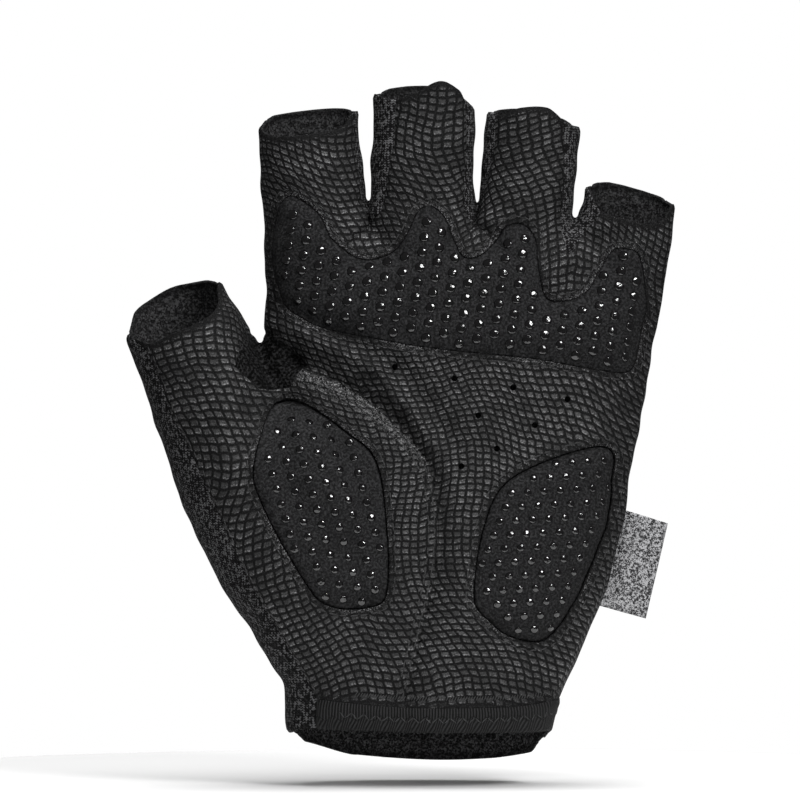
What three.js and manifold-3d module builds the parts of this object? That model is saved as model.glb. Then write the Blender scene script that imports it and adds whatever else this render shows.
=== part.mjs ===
// Half-finger cycling glove for the left hand, in the form that it has when worn.
// +Z runs from the wrist to the fingertips, the palm faces -Y and the thumb is at -X.
// The origin is the centre of the wrist opening. Millimetres.
import * as THREE from "three";
import { mergeVertices } from "three/addons/utils/BufferGeometryUtils.js";
import Module from "manifold-3d";

const wasm = await Module();
wasm.setup();

// Named sizes
const PALM_WIDTH = 98;
const PALM_HEIGHT = 133;
const PALM_DEPTH = 42;
const FINGER_REACH = 32;
const FINGER_DEPTH = 22;
const THUMB_WIDTH = 27.5;
const WALL = 1.5;
const SEAM_GAP = 0.35;
const PAD_RISE = 1.1;
const TAPE_RISE = 0.6;
const HOLE_DIAMETER = 1.2;
const TAG_THICKNESS = 1.2;
const FAR = 60;

// Body of the hand. Heights are shares of PALM_HEIGHT, left and right of PALM_WIDTH,
// front (palm side) and back of PALM_DEPTH.
const BODY = [
  { up: 0.0, left: -0.33, right: 0.337, front: 0.49, back: 0.5 },
  { up: 0.075, left: -0.337, right: 0.355, front: 0.5, back: 0.5 },
  { up: 0.15, left: -0.352, right: 0.393, front: 0.53, back: 0.49 },
  { up: 0.23, left: -0.385, right: 0.443, front: 0.55, back: 0.48 },
  { up: 0.31, left: -0.41, right: 0.484, front: 0.56, back: 0.465 },
  { up: 0.42, left: -0.42, right: 0.521, front: 0.55, back: 0.455 },
  { up: 0.53, left: -0.42, right: 0.545, front: 0.51, back: 0.45 },
  { up: 0.64, left: -0.41, right: 0.571, front: 0.46, back: 0.43 },
  { up: 0.75, left: -0.398, right: 0.6, front: 0.41, back: 0.4 },
  { up: 0.84, left: -0.392, right: 0.618, front: 0.37, back: 0.36 },
  { up: 0.9, left: -0.383, right: 0.62, front: 0.33, back: 0.32 },
  { up: 0.945, left: -0.37, right: 0.6, front: 0.26, back: 0.26 },
  { up: 0.968, left: -0.345, right: 0.57, front: 0.15, back: 0.15 },
];

// Wrist edge: drop below the lowest section, as shares of PALM_HEIGHT, across the body.
const WRIST_RIM = [
  { across: -1, front: -0.025, back: -0.025 },
  { across: -0.9, front: -0.034, back: -0.008 },
  { across: -0.55, front: -0.034, back: 0.014 },
  { across: 0.1, front: -0.03, back: 0.026 },
  { across: 0.6, front: -0.029, back: 0.022 },
  { across: 0.9, front: -0.028, back: 0.004 },
  { across: 1, front: -0.028, back: -0.028 },
];

// Fingers: heights are shares of PALM_HEIGHT, left and right of PALM_WIDTH, depth of FINGER_DEPTH.
const INDEX = [
  { up: 0.84, left: -0.388, right: -0.135, depth: 1.04 },
  { up: 0.91, left: -0.388, right: -0.125, depth: 1.04 },
  { up: 1.0, left: -0.396, right: -0.1265, depth: 1 },
  { up: 1.1, left: -0.403, right: -0.144, depth: 0.98 },
  { up: 1.175, left: -0.408, right: -0.155, depth: 0.98 },
];
const MIDDLE = [
  { up: 0.8, left: -0.13, right: 0.144, depth: 1.22 },
  { up: 0.92, left: -0.131, right: 0.148, depth: 1.18 },
  { up: 1.0, left: -0.128, right: 0.147, depth: 1.06 },
  { up: 1.1, left: -0.121, right: 0.14, depth: 1 },
  { up: 1.21, left: -0.115, right: 0.145, depth: 0.98 },
];
const RING = [
  { up: 0.8, left: 0.142, right: 0.389, depth: 1.2 },
  { up: 0.92, left: 0.142, right: 0.393, depth: 1.14 },
  { up: 1.0, left: 0.145, right: 0.394, depth: 1.02 },
  { up: 1.1, left: 0.159, right: 0.405, depth: 0.98 },
  { up: 1.175, left: 0.17, right: 0.413, depth: 0.96 },
];
const LITTLE = [
  { up: 0.79, left: 0.372, right: 0.605, depth: 0.92 },
  { up: 0.85, left: 0.378, right: 0.62, depth: 0.94 },
  { up: 0.95, left: 0.384, right: 0.642, depth: 0.94 },
  { up: 1.0, left: 0.405, right: 0.649, depth: 0.92 },
  { up: 1.03, left: 0.42, right: 0.652, depth: 0.9 },
];

// Finger edges: heights above the last section as shares of FINGER_REACH.
const INDEX_RIM = [
  { across: -1, front: -0.06, back: -0.06 },
  { across: -0.7, front: -0.14, back: 0.03 },
  { across: -0.3, front: -0.137, back: 0.075 },
  { across: 0.3, front: -0.11, back: 0.1 },
  { across: 0.7, front: -0.07, back: 0.1 },
  { across: 1, front: 0.07, back: 0.07 },
];
const MIDDLE_RIM = [
  { across: -1, front: 0.055, back: 0.055 },
  { across: -0.7, front: 0.0, back: 0.11 },
  { across: -0.2, front: 0.05, back: 0.135 },
  { across: 0.3, front: 0.155, back: 0.12 },
  { across: 0.7, front: 0.11, back: 0.02 },
  { across: 1, front: -0.05, back: -0.05 },
];
const RING_RIM = [
  { across: -1, front: 0.06, back: 0.06 },
  { across: -0.7, front: 0.03, back: 0.09 },
  { across: -0.3, front: 0.08, back: 0.1 },
  { across: 0.3, front: 0.1, back: 0.07 },
  { across: 0.7, front: 0.02, back: 0.01 },
  { across: 1, front: -0.06, back: -0.06 },
];
const LITTLE_RIM = [
  { across: -1, front: 0.08, back: 0.08 },
  { across: -0.7, front: -0.12, back: 0.12 },
  { across: -0.3, front: -0.16, back: 0.115 },
  { across: 0.3, front: -0.215, back: 0.06 },
  { across: 0.7, front: -0.2, back: 0.01 },
  { across: 1, front: -0.055, back: -0.055 },
];

// Thumb sections from the heel to the edge. Centre x is a share of PALM_WIDTH, centre z of
// PALM_HEIGHT, half width, depths and y of THUMB_WIDTH. Lean is in degrees from upright.
const THUMB = [
  { x: -0.19, y: -0.1, z: 0.1, lean: 8, half: 0.48, front: 0.57, back: 0.57 },
  { x: -0.23, y: -0.18, z: 0.21, lean: 14, half: 0.61, front: 0.68, back: 0.6 },
  { x: -0.316, y: -0.25, z: 0.346, lean: 20, half: 0.69, front: 0.73, back: 0.62 },
  { x: -0.43, y: -0.25, z: 0.496, lean: 24, half: 0.64, front: 0.68, back: 0.58 },
  { x: -0.522, y: -0.22, z: 0.64, lean: 27, half: 0.555, front: 0.63, back: 0.56 },
  { x: -0.581, y: -0.18, z: 0.747, lean: 29, half: 0.53, front: 0.55, back: 0.52 },
  { x: -0.6255, y: -0.15, z: 0.82, lean: 29.8, half: 0.5, front: 0.5, back: 0.5 },
];
const THUMB_RIM = [
  { across: -1, front: 0.0, back: 0.0 },
  { across: -0.7, front: -0.175, back: 0.155 },
  { across: -0.3, front: -0.2, back: 0.19 },
  { across: 0.15, front: -0.23, back: 0.19 },
  { across: 0.55, front: -0.23, back: 0.13 },
  { across: 0.8, front: -0.16, back: 0.08 },
  { across: 1, front: 0.0, back: 0.0 },
];

// Seams and outlines, seen from the palm. x is a share of PALM_WIDTH, z of PALM_HEIGHT.
const THENAR_SEAM = [
  { x: -0.304, z: 0.709 },
  { x: -0.176, z: 0.669 },
  { x: -0.082, z: 0.618 },
  { x: 0.018, z: 0.536 },
  { x: 0.048, z: 0.44 },
  { x: 0.043, z: 0.336 },
  { x: 0.008, z: 0.218 },
  { x: -0.033, z: 0.088 },
];
const THUMB_SIDE_SEAM = [
  { x: -0.259, z: 0.088 },
  { x: -0.301, z: 0.143 },
  { x: -0.347, z: 0.205 },
  { x: -0.446, z: 0.333 },
  { x: -0.556, z: 0.517 },
  { x: -0.62, z: 0.611 },
  { x: -0.676, z: 0.718 },
  { x: -0.703, z: 0.75 },
];
const KNUCKLE_PAD = [
  { x: -0.304, z: 0.804 },
  { x: -0.355, z: 0.836 },
  { x: -0.373, z: 0.93 },
  { x: -0.37, z: 0.987 },
  { x: -0.316, z: 1.029 },
  { x: -0.253, z: 0.996 },
  { x: -0.176, z: 0.921 },
  { x: -0.1, z: 0.912 },
  { x: -0.03, z: 0.959 },
  { x: 0.028, z: 1.012 },
  { x: 0.075, z: 0.975 },
  { x: 0.111, z: 0.915 },
  { x: 0.16, z: 0.92 },
  { x: 0.22, z: 0.973 },
  { x: 0.27, z: 0.976 },
  { x: 0.302, z: 0.893 },
  { x: 0.321, z: 0.839 },
  { x: 0.372, z: 0.834 },
  { x: 0.45, z: 0.88 },
  { x: 0.487, z: 0.926 },
  { x: 0.526, z: 0.932 },
  { x: 0.562, z: 0.915 },
  { x: 0.577, z: 0.836 },
  { x: 0.551, z: 0.719 },
  { x: 0.523, z: 0.7 },
  { x: 0.27, z: 0.727 },
  { x: 0.0, z: 0.749 },
  { x: -0.2, z: 0.777 },
];
const THUMB_HEEL_PAD = [
  { x: -0.348, z: 0.648 },
  { x: -0.24, z: 0.62 },
  { x: -0.125, z: 0.555 },
  { x: -0.097, z: 0.507 },
  { x: -0.08, z: 0.38 },
  { x: -0.085, z: 0.285 },
  { x: -0.13, z: 0.263 },
  { x: -0.22, z: 0.266 },
  { x: -0.278, z: 0.301 },
  { x: -0.387, z: 0.442 },
  { x: -0.414, z: 0.52 },
  { x: -0.39, z: 0.6 },
];
const OUTER_HEEL_PAD = [
  { x: 0.462, z: 0.562 },
  { x: 0.496, z: 0.54 },
  { x: 0.485, z: 0.442 },
  { x: 0.411, z: 0.291 },
  { x: 0.353, z: 0.224 },
  { x: 0.3, z: 0.199 },
  { x: 0.225, z: 0.21 },
  { x: 0.139, z: 0.272 },
  { x: 0.145, z: 0.35 },
  { x: 0.188, z: 0.465 },
  { x: 0.25, z: 0.512 },
  { x: 0.36, z: 0.546 },
];
const INDEX_MIDDLE_WEB = [
  { x: -0.122, z: 0.977 },
  { x: -0.14, z: 0.998 },
  { x: -0.169, z: 1.21 },
  { x: -0.169, z: 1.4 },
  { x: -0.062, z: 1.4 },
  { x: -0.062, z: 1.208 },
  { x: -0.07, z: 1.118 },
  { x: -0.097, z: 0.998 },
];
const MIDDLE_RING_WEB = [
  { x: 0.132, z: 0.972 },
  { x: 0.117, z: 1.006 },
  { x: 0.122, z: 1.118 },
  { x: 0.125, z: 1.4 },
  { x: 0.19, z: 1.4 },
  { x: 0.19, z: 1.135 },
  { x: 0.15, z: 1.0 },
];
const RING_LITTLE_WEB = [
  { x: 0.378, z: 0.914 },
  { x: 0.362, z: 0.95 },
  { x: 0.365, z: 1.024 },
  { x: 0.373, z: 1.147 },
  { x: 0.373, z: 1.4 },
  { x: 0.455, z: 1.4 },
  { x: 0.455, z: 1.0 },
  { x: 0.41, z: 0.95 },
];
const GUSSET = [
  { x: -0.304, z: 0.712 },
  { x: -0.33, z: 0.672 },
  { x: -0.4, z: 0.672 },
  { x: -0.465, z: 0.71 },
  { x: -0.44, z: 0.775 },
  { x: -0.36, z: 0.775 },
];
const TAPE_TOP = [
  { x: -0.26, z: 0.09 },
  { x: -0.036, z: 0.076 },
  { x: 0.204, z: 0.076 },
  { x: 0.32, z: 0.082 },
  { x: 0.42, z: 0.094 },
];
// Right-hand edge of the palm leather, where it goes round to the back.
const OUTER_WRAP = [
  { x: 0.27, z: -0.08 },
  { x: 0.3, z: 0.08 },
  { x: 0.42, z: 0.3 },
  { x: 0.49, z: 0.6 },
  { x: 0.55, z: 0.83 },
  { x: 0.58, z: 1.1 },
];
const AIR_HOLES = [
  { x: -0.061, z: 0.71 },
  { x: 0.089, z: 0.689 },
  { x: 0.237, z: 0.672 },
  { x: 0.375, z: 0.65 },
  { x: 0.149, z: 0.62 },
  { x: 0.292, z: 0.602 },
  { x: 0.196, z: 0.558 },
  { x: 0.106, z: 0.526 },
];
const SIDE_TAG = [
  { x: 0.5, z: 0.443 },
  { x: 0.633, z: 0.417 },
  { x: 0.577, z: 0.238 },
  { x: 0.43, z: 0.263 },
];

// Smooth value of a table's column at a place between its rows.
function between(rows, column, place) {
  const row = Math.min(Math.max(Math.floor(place), 0), rows.length - 2);
  const share = place - row;
  const value = (i) => rows[Math.min(Math.max(i, 0), rows.length - 1)][column];
  const [before, low, high, after] = [row - 1, row, row + 1, row + 2].map(value);
  const leave = (high - before) / 2;
  const arrive = (after - low) / 2;
  const square = share * share;
  const cube = square * share;
  return (
    low * (2 * cube - 3 * square + 1) +
    leave * (cube - 2 * square + share) +
    high * (3 * square - 2 * cube) +
    arrive * (cube - square)
  );
}

// Height of an edge at a place across a tube, on its front or back.
function rimHeight(rim, across, side) {
  let row = 0;
  while (row < rim.length - 2 && across > rim[row + 1].across) row += 1;
  const span = rim[row + 1].across - rim[row].across;
  return between(rim, side, row + Math.min(Math.max((across - rim[row].across) / span, 0), 1));
}

// A closed solid from a geometry.
function solid(geometry) {
  geometry.deleteAttribute("normal");
  geometry.deleteAttribute("uv");
  const merged = mergeVertices(geometry, 1e-4);
  return new wasm.Manifold(
    new wasm.Mesh({
      numProp: 3,
      vertProperties: merged.attributes.position.array,
      triVerts: new Uint32Array(merged.index.array),
    }),
  );
}

// A tube through oval sections. Each section has a centre, a lean, a half width and two depths.
// The end at the rim follows the rim's heights; past lengthens that end, inset thins the tube.
function tube({ sections, rim, rimScale, rimAtStart, steps, sides, power, inset, past }) {
  const points = [];
  for (let step = 0; step <= steps; step += 1) {
    const place = (step * (sections.length - 1)) / steps;
    const get = (column) => between(sections, column, place);
    const lean = THREE.MathUtils.degToRad(get("lean"));
    const across = new THREE.Vector3(Math.cos(lean), 0, Math.sin(lean));
    const along = new THREE.Vector3(-Math.sin(lean), 0, Math.cos(lean));
    const fromRim = rimAtStart ? step : steps - step;
    const follow = Math.max(0, 1 - fromRim / 3);
    const atEnd = fromRim === 0 ? past : 0;
    for (let side = 0; side < sides; side += 1) {
      const angle = (2 * Math.PI * side) / sides;
      const u = Math.sign(Math.cos(angle)) * Math.abs(Math.cos(angle)) ** (2 / power);
      const v = Math.sign(Math.sin(angle)) * Math.abs(Math.sin(angle)) ** (2 / power);
      const depth = get(v < 0 ? "front" : "back") - inset;
      const height = rimHeight(rim, u, v < 0 ? "front" : "back") * rimScale * follow;
      const reach = rimAtStart ? -height - atEnd : height + atEnd;
      points.push(
        new THREE.Vector3(get("x"), get("y") + v * depth, get("z"))
          .addScaledVector(across, u * (get("half") - inset))
          .addScaledVector(along, reach),
      );
    }
  }
  const triangles = [];
  for (let step = 0; step < steps; step += 1) {
    for (let side = 0; side < sides; side += 1) {
      const a = step * sides + side;
      const b = step * sides + ((side + 1) % sides);
      triangles.push(a, b, b + sides, a, b + sides, a + sides);
    }
  }
  for (const step of [0, steps]) {
    const ring = points.slice(step * sides, (step + 1) * sides);
    const middle = ring.reduce((sum, p) => sum.add(p), new THREE.Vector3()).divideScalar(sides);
    points.push(middle);
    for (let side = 0; side < sides; side += 1) {
      const a = step * sides + side;
      const b = step * sides + ((side + 1) % sides);
      triangles.push(...(step === 0 ? [b, a, points.length - 1] : [a, b, points.length - 1]));
    }
  }
  const geometry = new THREE.BufferGeometry().setFromPoints(points);
  geometry.setIndex(triangles);
  return solid(geometry);
}

function uprightSections(rows, front, back, y) {
  return rows.map((row) => ({
    x: ((row.left + row.right) / 2) * PALM_WIDTH,
    y,
    z: row.up * PALM_HEIGHT,
    lean: 0,
    half: ((row.right - row.left) / 2) * PALM_WIDTH,
    front: front(row),
    back: back(row),
  }));
}

const FINGERS = [
  [INDEX, INDEX_RIM],
  [MIDDLE, MIDDLE_RIM],
  [RING, RING_RIM],
  [LITTLE, LITTLE_RIM],
];

// The whole hand as one solid, inset from the outer face, with its edges lengthened by past.
function hand(inset, past) {
  const body = tube({
    sections: uprightSections(
      BODY,
      (row) => row.front * PALM_DEPTH,
      (row) => row.back * PALM_DEPTH,
      0,
    ),
    rim: WRIST_RIM,
    rimScale: PALM_HEIGHT,
    rimAtStart: true,
    steps: 15,
    sides: 40,
    power: 2.6,
    inset,
    past,
  });
  const fingers = FINGERS.map(([rows, rim]) =>
    tube({
      sections: uprightSections(
        rows,
        (row) => (row.depth * FINGER_DEPTH) / 2,
        (row) => (row.depth * FINGER_DEPTH) / 2,
        -0.04 * FINGER_DEPTH,
      ),
      rim,
      rimScale: FINGER_REACH,
      rimAtStart: false,
      steps: 6,
      sides: 20,
      power: 2.25,
      inset,
      past,
    }),
  );
  const thumb = tube({
    sections: THUMB.map((row) => ({
      x: row.x * PALM_WIDTH,
      y: row.y * THUMB_WIDTH,
      z: row.z * PALM_HEIGHT,
      lean: row.lean,
      half: row.half * THUMB_WIDTH,
      front: row.front * THUMB_WIDTH,
      back: row.back * THUMB_WIDTH,
    })),
    rim: THUMB_RIM,
    rimScale: THUMB_WIDTH,
    rimAtStart: false,
    steps: 9,
    sides: 28,
    power: 2.15,
    inset,
    past,
  });
  return fingers.reduce((sum, finger) => sum.add(finger), body.add(thumb));
}

// Points of a table as places seen from the palm.
function places(rows) {
  return rows.map((row) => new THREE.Vector2(row.x * PALM_WIDTH, row.z * PALM_HEIGHT));
}

// A smooth line through the rows, closed for an outline.
function smooth(rows, closed, count) {
  const points = places(rows).map((p) => new THREE.Vector3(p.x, p.y, 0));
  const curve = new THREE.CatmullRomCurve3(points, closed, "centripetal");
  const line = curve.getSpacedPoints(count).map((p) => new THREE.Vector2(p.x, p.y));
  return closed ? line.slice(0, -1) : line;
}

// An outline moved outwards by a distance, or inwards when it is negative.
function grown(outline, distance) {
  const turn = THREE.ShapeUtils.area(outline) > 0 ? 1 : -1;
  return outline.map((point, i) => {
    const before = outline[(i + outline.length - 1) % outline.length];
    const after = outline[(i + 1) % outline.length];
    const arrive = point.clone().sub(before).normalize();
    const leave = after.clone().sub(point).normalize();
    const normal = new THREE.Vector2(arrive.y + leave.y, -arrive.x - leave.x).normalize();
    const widen = 1 / Math.max(0.5, normal.dot(new THREE.Vector2(leave.y, -leave.x)));
    return point.clone().addScaledVector(normal, distance * widen * turn);
  });
}

// A slab of an outline, from far in front of the palm back to a depth.
function slab(outline, backTo, frontFrom = -FAR) {
  const shape = new THREE.Shape(outline);
  const geometry = new THREE.ExtrudeGeometry(shape, {
    depth: backTo - frontFrom,
    bevelEnabled: false,
  });
  geometry.rotateX(Math.PI / 2);
  geometry.translate(0, backTo, 0);
  return solid(geometry);
}

// How far inside an outline a point lies, or a negative distance outside it.
function depthInside(outline, x, z) {
  let nearest = Infinity;
  let inside = false;
  outline.forEach((start, i) => {
    const end = outline[(i + 1) % outline.length];
    const edge = end.clone().sub(start);
    const share = ((x - start.x) * edge.x + (z - start.y) * edge.y) / edge.lengthSq();
    const foot = start.clone().addScaledVector(edge, Math.min(Math.max(share, 0), 1));
    nearest = Math.min(nearest, Math.hypot(x - foot.x, z - foot.y));
    if (start.y > z !== end.y > z && x < start.x + ((z - start.y) / edge.y) * edge.x) {
      inside = !inside;
    }
  });
  return inside ? nearest : -nearest;
}

// A form with its palm side raised inside an outline.
function crowned(form, outline) {
  const mesh = form.getMesh();
  const raised = new Float32Array(mesh.vertProperties);
  for (let i = 0; i < raised.length; i += 3) {
    const depth = depthInside(outline, raised[i], raised[i + 2]);
    const share = THREE.MathUtils.smoothstep(depth, -1, 0.07 * PALM_WIDTH);
    if (raised[i + 1] < 0) raised[i + 1] -= PAD_RISE * share;
  }
  return new wasm.Manifold(
    new wasm.Mesh({ numProp: 3, vertProperties: raised, triVerts: mesh.triVerts }),
  );
}

// The largest connected body of a solid, so that no crumb of a cut stays with it.
function mainBody(form) {
  return form.decompose().reduce((best, part) => (part.volume() > best.volume() ? part : best));
}

const outer = hand(0, 0);
const inner = hand(WALL, 8);
const shell = outer.subtract(inner);

const thenarSeam = smooth(THENAR_SEAM, false, 16);
const thumbSideSeam = smooth(THUMB_SIDE_SEAM, false, 12);
const tapeTop = smooth(TAPE_TOP, false, 6);
const corner = (x, z) => new THREE.Vector2(x * PALM_WIDTH, z * PALM_HEIGHT);

const outlines = {
  knuckle: smooth(KNUCKLE_PAD, true, 60),
  thumbHeel: smooth(THUMB_HEEL_PAD, true, 30),
  outerHeel: smooth(OUTER_HEEL_PAD, true, 30),
  indexMiddle: places(INDEX_MIDDLE_WEB),
  middleRing: places(MIDDLE_RING_WEB),
  ringLittle: places(RING_LITTLE_WEB),
  gusset: places(GUSSET),
  tape: [...tapeTop, corner(0.42, -0.1), corner(-0.26, -0.1)],
  thumb: [
    ...thenarSeam,
    corner(-0.033, -0.1),
    corner(-0.259, -0.1),
    ...thumbSideSeam,
    corner(-0.8, 0.8),
    corner(-0.7, 0.95),
    corner(-0.45, 0.95),
    corner(-0.38, 0.76),
  ],
  palm: [
    ...[...thenarSeam].reverse(),
    corner(-0.39, 0.75),
    corner(-0.5, 0.77),
    corner(-0.5, 1.4),
    corner(0.75, 1.4),
    corner(0.75, -0.1),
    corner(-0.033, -0.1),
  ],
  indexWrap: [corner(-0.5, 0.76), corner(-0.5, 1.4), corner(-0.35, 1.4), corner(-0.35, 0.76)],
  outerWrap: [...smooth(OUTER_WRAP, false, 8), corner(0.75, 1.1), corner(0.75, -0.08)],
};

// How far towards the back each region's slab reaches, as shares of PALM_DEPTH.
const REACH = { front: 0.0, web: 0.1, gusset: 0.16, wrap: 0.13 };

function region(names, reach, grow) {
  return names
    .map((name) => slab(grown(outlines[name], grow), reach * PALM_DEPTH + Math.max(grow, 0)))
    .reduce((sum, part) => sum.add(part));
}

const regions = {
  knuckle: (grow) => region(["knuckle"], REACH.front, grow),
  thumbHeel: (grow) => region(["thumbHeel"], REACH.front, grow),
  outerHeel: (grow) => region(["outerHeel"], REACH.front, grow),
  indexMiddle: (grow) => region(["indexMiddle"], REACH.web, grow),
  middleRing: (grow) => region(["middleRing"], REACH.web, grow),
  ringLittle: (grow) => region(["ringLittle"], REACH.web, grow),
  gusset: (grow) => region(["gusset"], REACH.gusset, grow),
  tape: (grow) => region(["tape"], REACH.front, grow),
  thumb: (grow) => region(["thumb"], REACH.front, grow),
  palm: (grow) =>
    region(["palm"], REACH.front, grow)
      .add(region(["indexWrap"], REACH.wrap, grow))
      .add(region(["outerWrap"], REACH.wrap, grow)),
};

function without(form, names) {
  return names.reduce((rest, name) => rest.subtract(regions[name](SEAM_GAP)), form);
}

const pads = ["knuckle", "thumbHeel", "outerHeel"];
const webs = ["indexMiddle", "middleRing", "ringLittle"];

function pad(name) {
  const raised = crowned(hand(-0.1, 0), outlines[name]);
  return raised.subtract(inner).intersect(regions[name](0));
}

const airHoles = AIR_HOLES.map((row) => {
  const hole = new THREE.CylinderGeometry(HOLE_DIAMETER / 2, HOLE_DIAMETER / 2, FAR, 6);
  hole.translate(row.x * PALM_WIDTH, -FAR / 2, row.z * PALM_HEIGHT);
  return solid(hole);
}).reduce((sum, hole) => sum.add(hole));

const tapeForm = hand(-TAPE_RISE, 0).subtract(inner);
const tagSlab = slab(places(SIDE_TAG), TAG_THICKNESS / 2, -TAG_THICKNESS / 2);

const pieces = {
  palm_panel: without(shell.intersect(regions.palm(0)), [
    ...pads,
    ...webs,
    "gusset",
    "tape",
    "thumb",
  ]).subtract(airHoles),
  thumb_panel: without(shell.intersect(regions.thumb(0)), [...pads, "gusset", "tape"]),
  back_panel: without(shell, [...pads, ...webs, "gusset", "tape", "thumb", "palm"]),
  knuckle_pad: pad("knuckle"),
  thumb_heel_pad: pad("thumbHeel"),
  outer_heel_pad: pad("outerHeel"),
  index_middle_fourchette: shell.intersect(regions.indexMiddle(0)),
  middle_ring_fourchette: shell.intersect(regions.middleRing(0)),
  ring_little_fourchette: shell.intersect(regions.ringLittle(0)),
  thumb_gusset: shell.intersect(regions.gusset(0)),
  wrist_tape: tapeForm.intersect(regions.tape(0)),
  side_tag: tagSlab.subtract(hand(-SEAM_GAP, 0)),
};

const LEATHER = { color: 0x1b1b1c, roughness: 0.55, metalness: 0 };
const KNIT = { color: 0x121214, roughness: 0.95, metalness: 0 };
const SUEDE = { color: 0x18181a, roughness: 0.9, metalness: 0 };
const LOOKS = {
  palm_panel: LEATHER,
  thumb_panel: LEATHER,
  back_panel: KNIT,
  knuckle_pad: SUEDE,
  thumb_heel_pad: SUEDE,
  outer_heel_pad: SUEDE,
  index_middle_fourchette: KNIT,
  middle_ring_fourchette: KNIT,
  ring_little_fourchette: KNIT,
  thumb_gusset: KNIT,
  wrist_tape: { color: 0x161617, roughness: 0.8, metalness: 0 },
  side_tag: { color: 0x8a8c8f, roughness: 0.9, metalness: 0 },
};

function meshOf(name, form) {
  const { vertProperties, triVerts } = mainBody(form).getMesh();
  const geometry = new THREE.BufferGeometry();
  geometry.setAttribute("position", new THREE.BufferAttribute(new Float32Array(vertProperties), 3));
  geometry.setIndex(new THREE.BufferAttribute(new Uint32Array(triVerts), 1));
  geometry.computeVertexNormals();
  const mesh = new THREE.Mesh(geometry, new THREE.MeshStandardMaterial(LOOKS[name]));
  mesh.name = name;
  return mesh;
}

const glove = new THREE.Group();
glove.name = "cycling_glove";
for (const [name, form] of Object.entries(pieces)) {
  glove.add(meshOf(name, form));
}

export default glove;
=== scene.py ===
"""Looks of a half-finger cycling glove for the left hand, in the form that it has when worn."""
import math

import bmesh
import bpy
import numpy as np
from mathutils import Matrix, Vector
from mathutils.bvhtree import BVHTree


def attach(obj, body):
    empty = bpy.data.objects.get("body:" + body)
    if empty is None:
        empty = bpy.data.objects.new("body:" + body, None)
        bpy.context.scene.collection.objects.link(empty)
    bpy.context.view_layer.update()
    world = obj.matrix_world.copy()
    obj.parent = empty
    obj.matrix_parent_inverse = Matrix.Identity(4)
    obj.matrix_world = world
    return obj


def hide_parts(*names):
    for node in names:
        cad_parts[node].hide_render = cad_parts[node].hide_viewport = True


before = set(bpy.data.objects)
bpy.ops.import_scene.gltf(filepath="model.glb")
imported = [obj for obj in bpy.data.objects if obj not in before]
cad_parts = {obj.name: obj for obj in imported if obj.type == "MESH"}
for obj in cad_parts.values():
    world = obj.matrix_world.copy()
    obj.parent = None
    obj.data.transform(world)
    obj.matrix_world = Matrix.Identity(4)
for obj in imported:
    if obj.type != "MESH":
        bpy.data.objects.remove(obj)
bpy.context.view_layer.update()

bl_info = {
    "name": "Half-finger glove",
    "version": (1, 0, 0),
    "blender": (4, 5, 0),
    "location": "View3D > Sidebar > Glove",
    "description": "Builds the leather, knit, pads, grip dots and stitching of a half-finger glove",
    "category": "Object",
}

MM = 0.001

# Named sizes of the hand, in metres
PALM_WIDTH = 0.098
PALM_HEIGHT = 0.133
PALM_DEPTH = 0.042
FINGER_REACH = 0.032
FINGER_DEPTH = 0.022
THUMB_WIDTH = 0.0275

# How far the tubes of the fingers and the thumb, and of the wrist, run on past their last
# sections before the edges are cut, in millimetres.
TUBE_TAIL = 9
WRIST_TAIL = 10

# Body of the hand: height, left, right, front depth, back depth.
# Heights are shares of PALM_HEIGHT, left and right of PALM_WIDTH, depths of PALM_DEPTH.
BODY = [
    (0.0, -0.33, 0.322, 0.49, 0.5),
    (0.075, -0.344, 0.355, 0.5, 0.5),
    (0.15, -0.356, 0.393, 0.53, 0.49),
    (0.23, -0.385, 0.443, 0.55, 0.48),
    (0.31, -0.41, 0.484, 0.56, 0.465),
    (0.42, -0.42, 0.521, 0.55, 0.455),
    (0.53, -0.42, 0.545, 0.51, 0.45),
    (0.64, -0.41, 0.571, 0.46, 0.43),
    (0.75, -0.398, 0.6, 0.41, 0.4),
    (0.84, -0.392, 0.618, 0.37, 0.36),
    (0.9, -0.383, 0.62, 0.33, 0.32),
    (0.945, -0.37, 0.6, 0.26, 0.26),
    (0.968, -0.345, 0.57, 0.15, 0.15),
]

# Fingers: height, left, right, depth. Depths are shares of FINGER_DEPTH.
INDEX = [
    (0.84, -0.39, -0.135, 1.04),
    (0.91, -0.391, -0.125, 1.04),
    (1.0, -0.4, -0.1305, 1.0),
    (1.1, -0.407, -0.144, 0.98),
    (1.175, -0.412, -0.155, 0.98),
]
MIDDLE = [
    (0.8, -0.13, 0.144, 1.22),
    (0.92, -0.131, 0.148, 1.18),
    (1.0, -0.1235, 0.1425, 1.06),
    (1.1, -0.121, 0.14, 1.0),
    (1.21, -0.115, 0.145, 0.98),
]
RING = [
    (0.8, 0.142, 0.389, 1.2),
    (0.92, 0.142, 0.39, 1.14),
    (1.0, 0.15, 0.392, 1.02),
    (1.1, 0.159, 0.405, 0.98),
    (1.175, 0.17, 0.413, 0.96),
]
LITTLE = [
    (0.79, 0.372, 0.605, 0.92),
    (0.85, 0.378, 0.62, 0.94),
    (0.95, 0.391, 0.645, 0.94),
    (1.0, 0.405, 0.653, 0.92),
    (1.03, 0.42, 0.656, 0.9),
]

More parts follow.
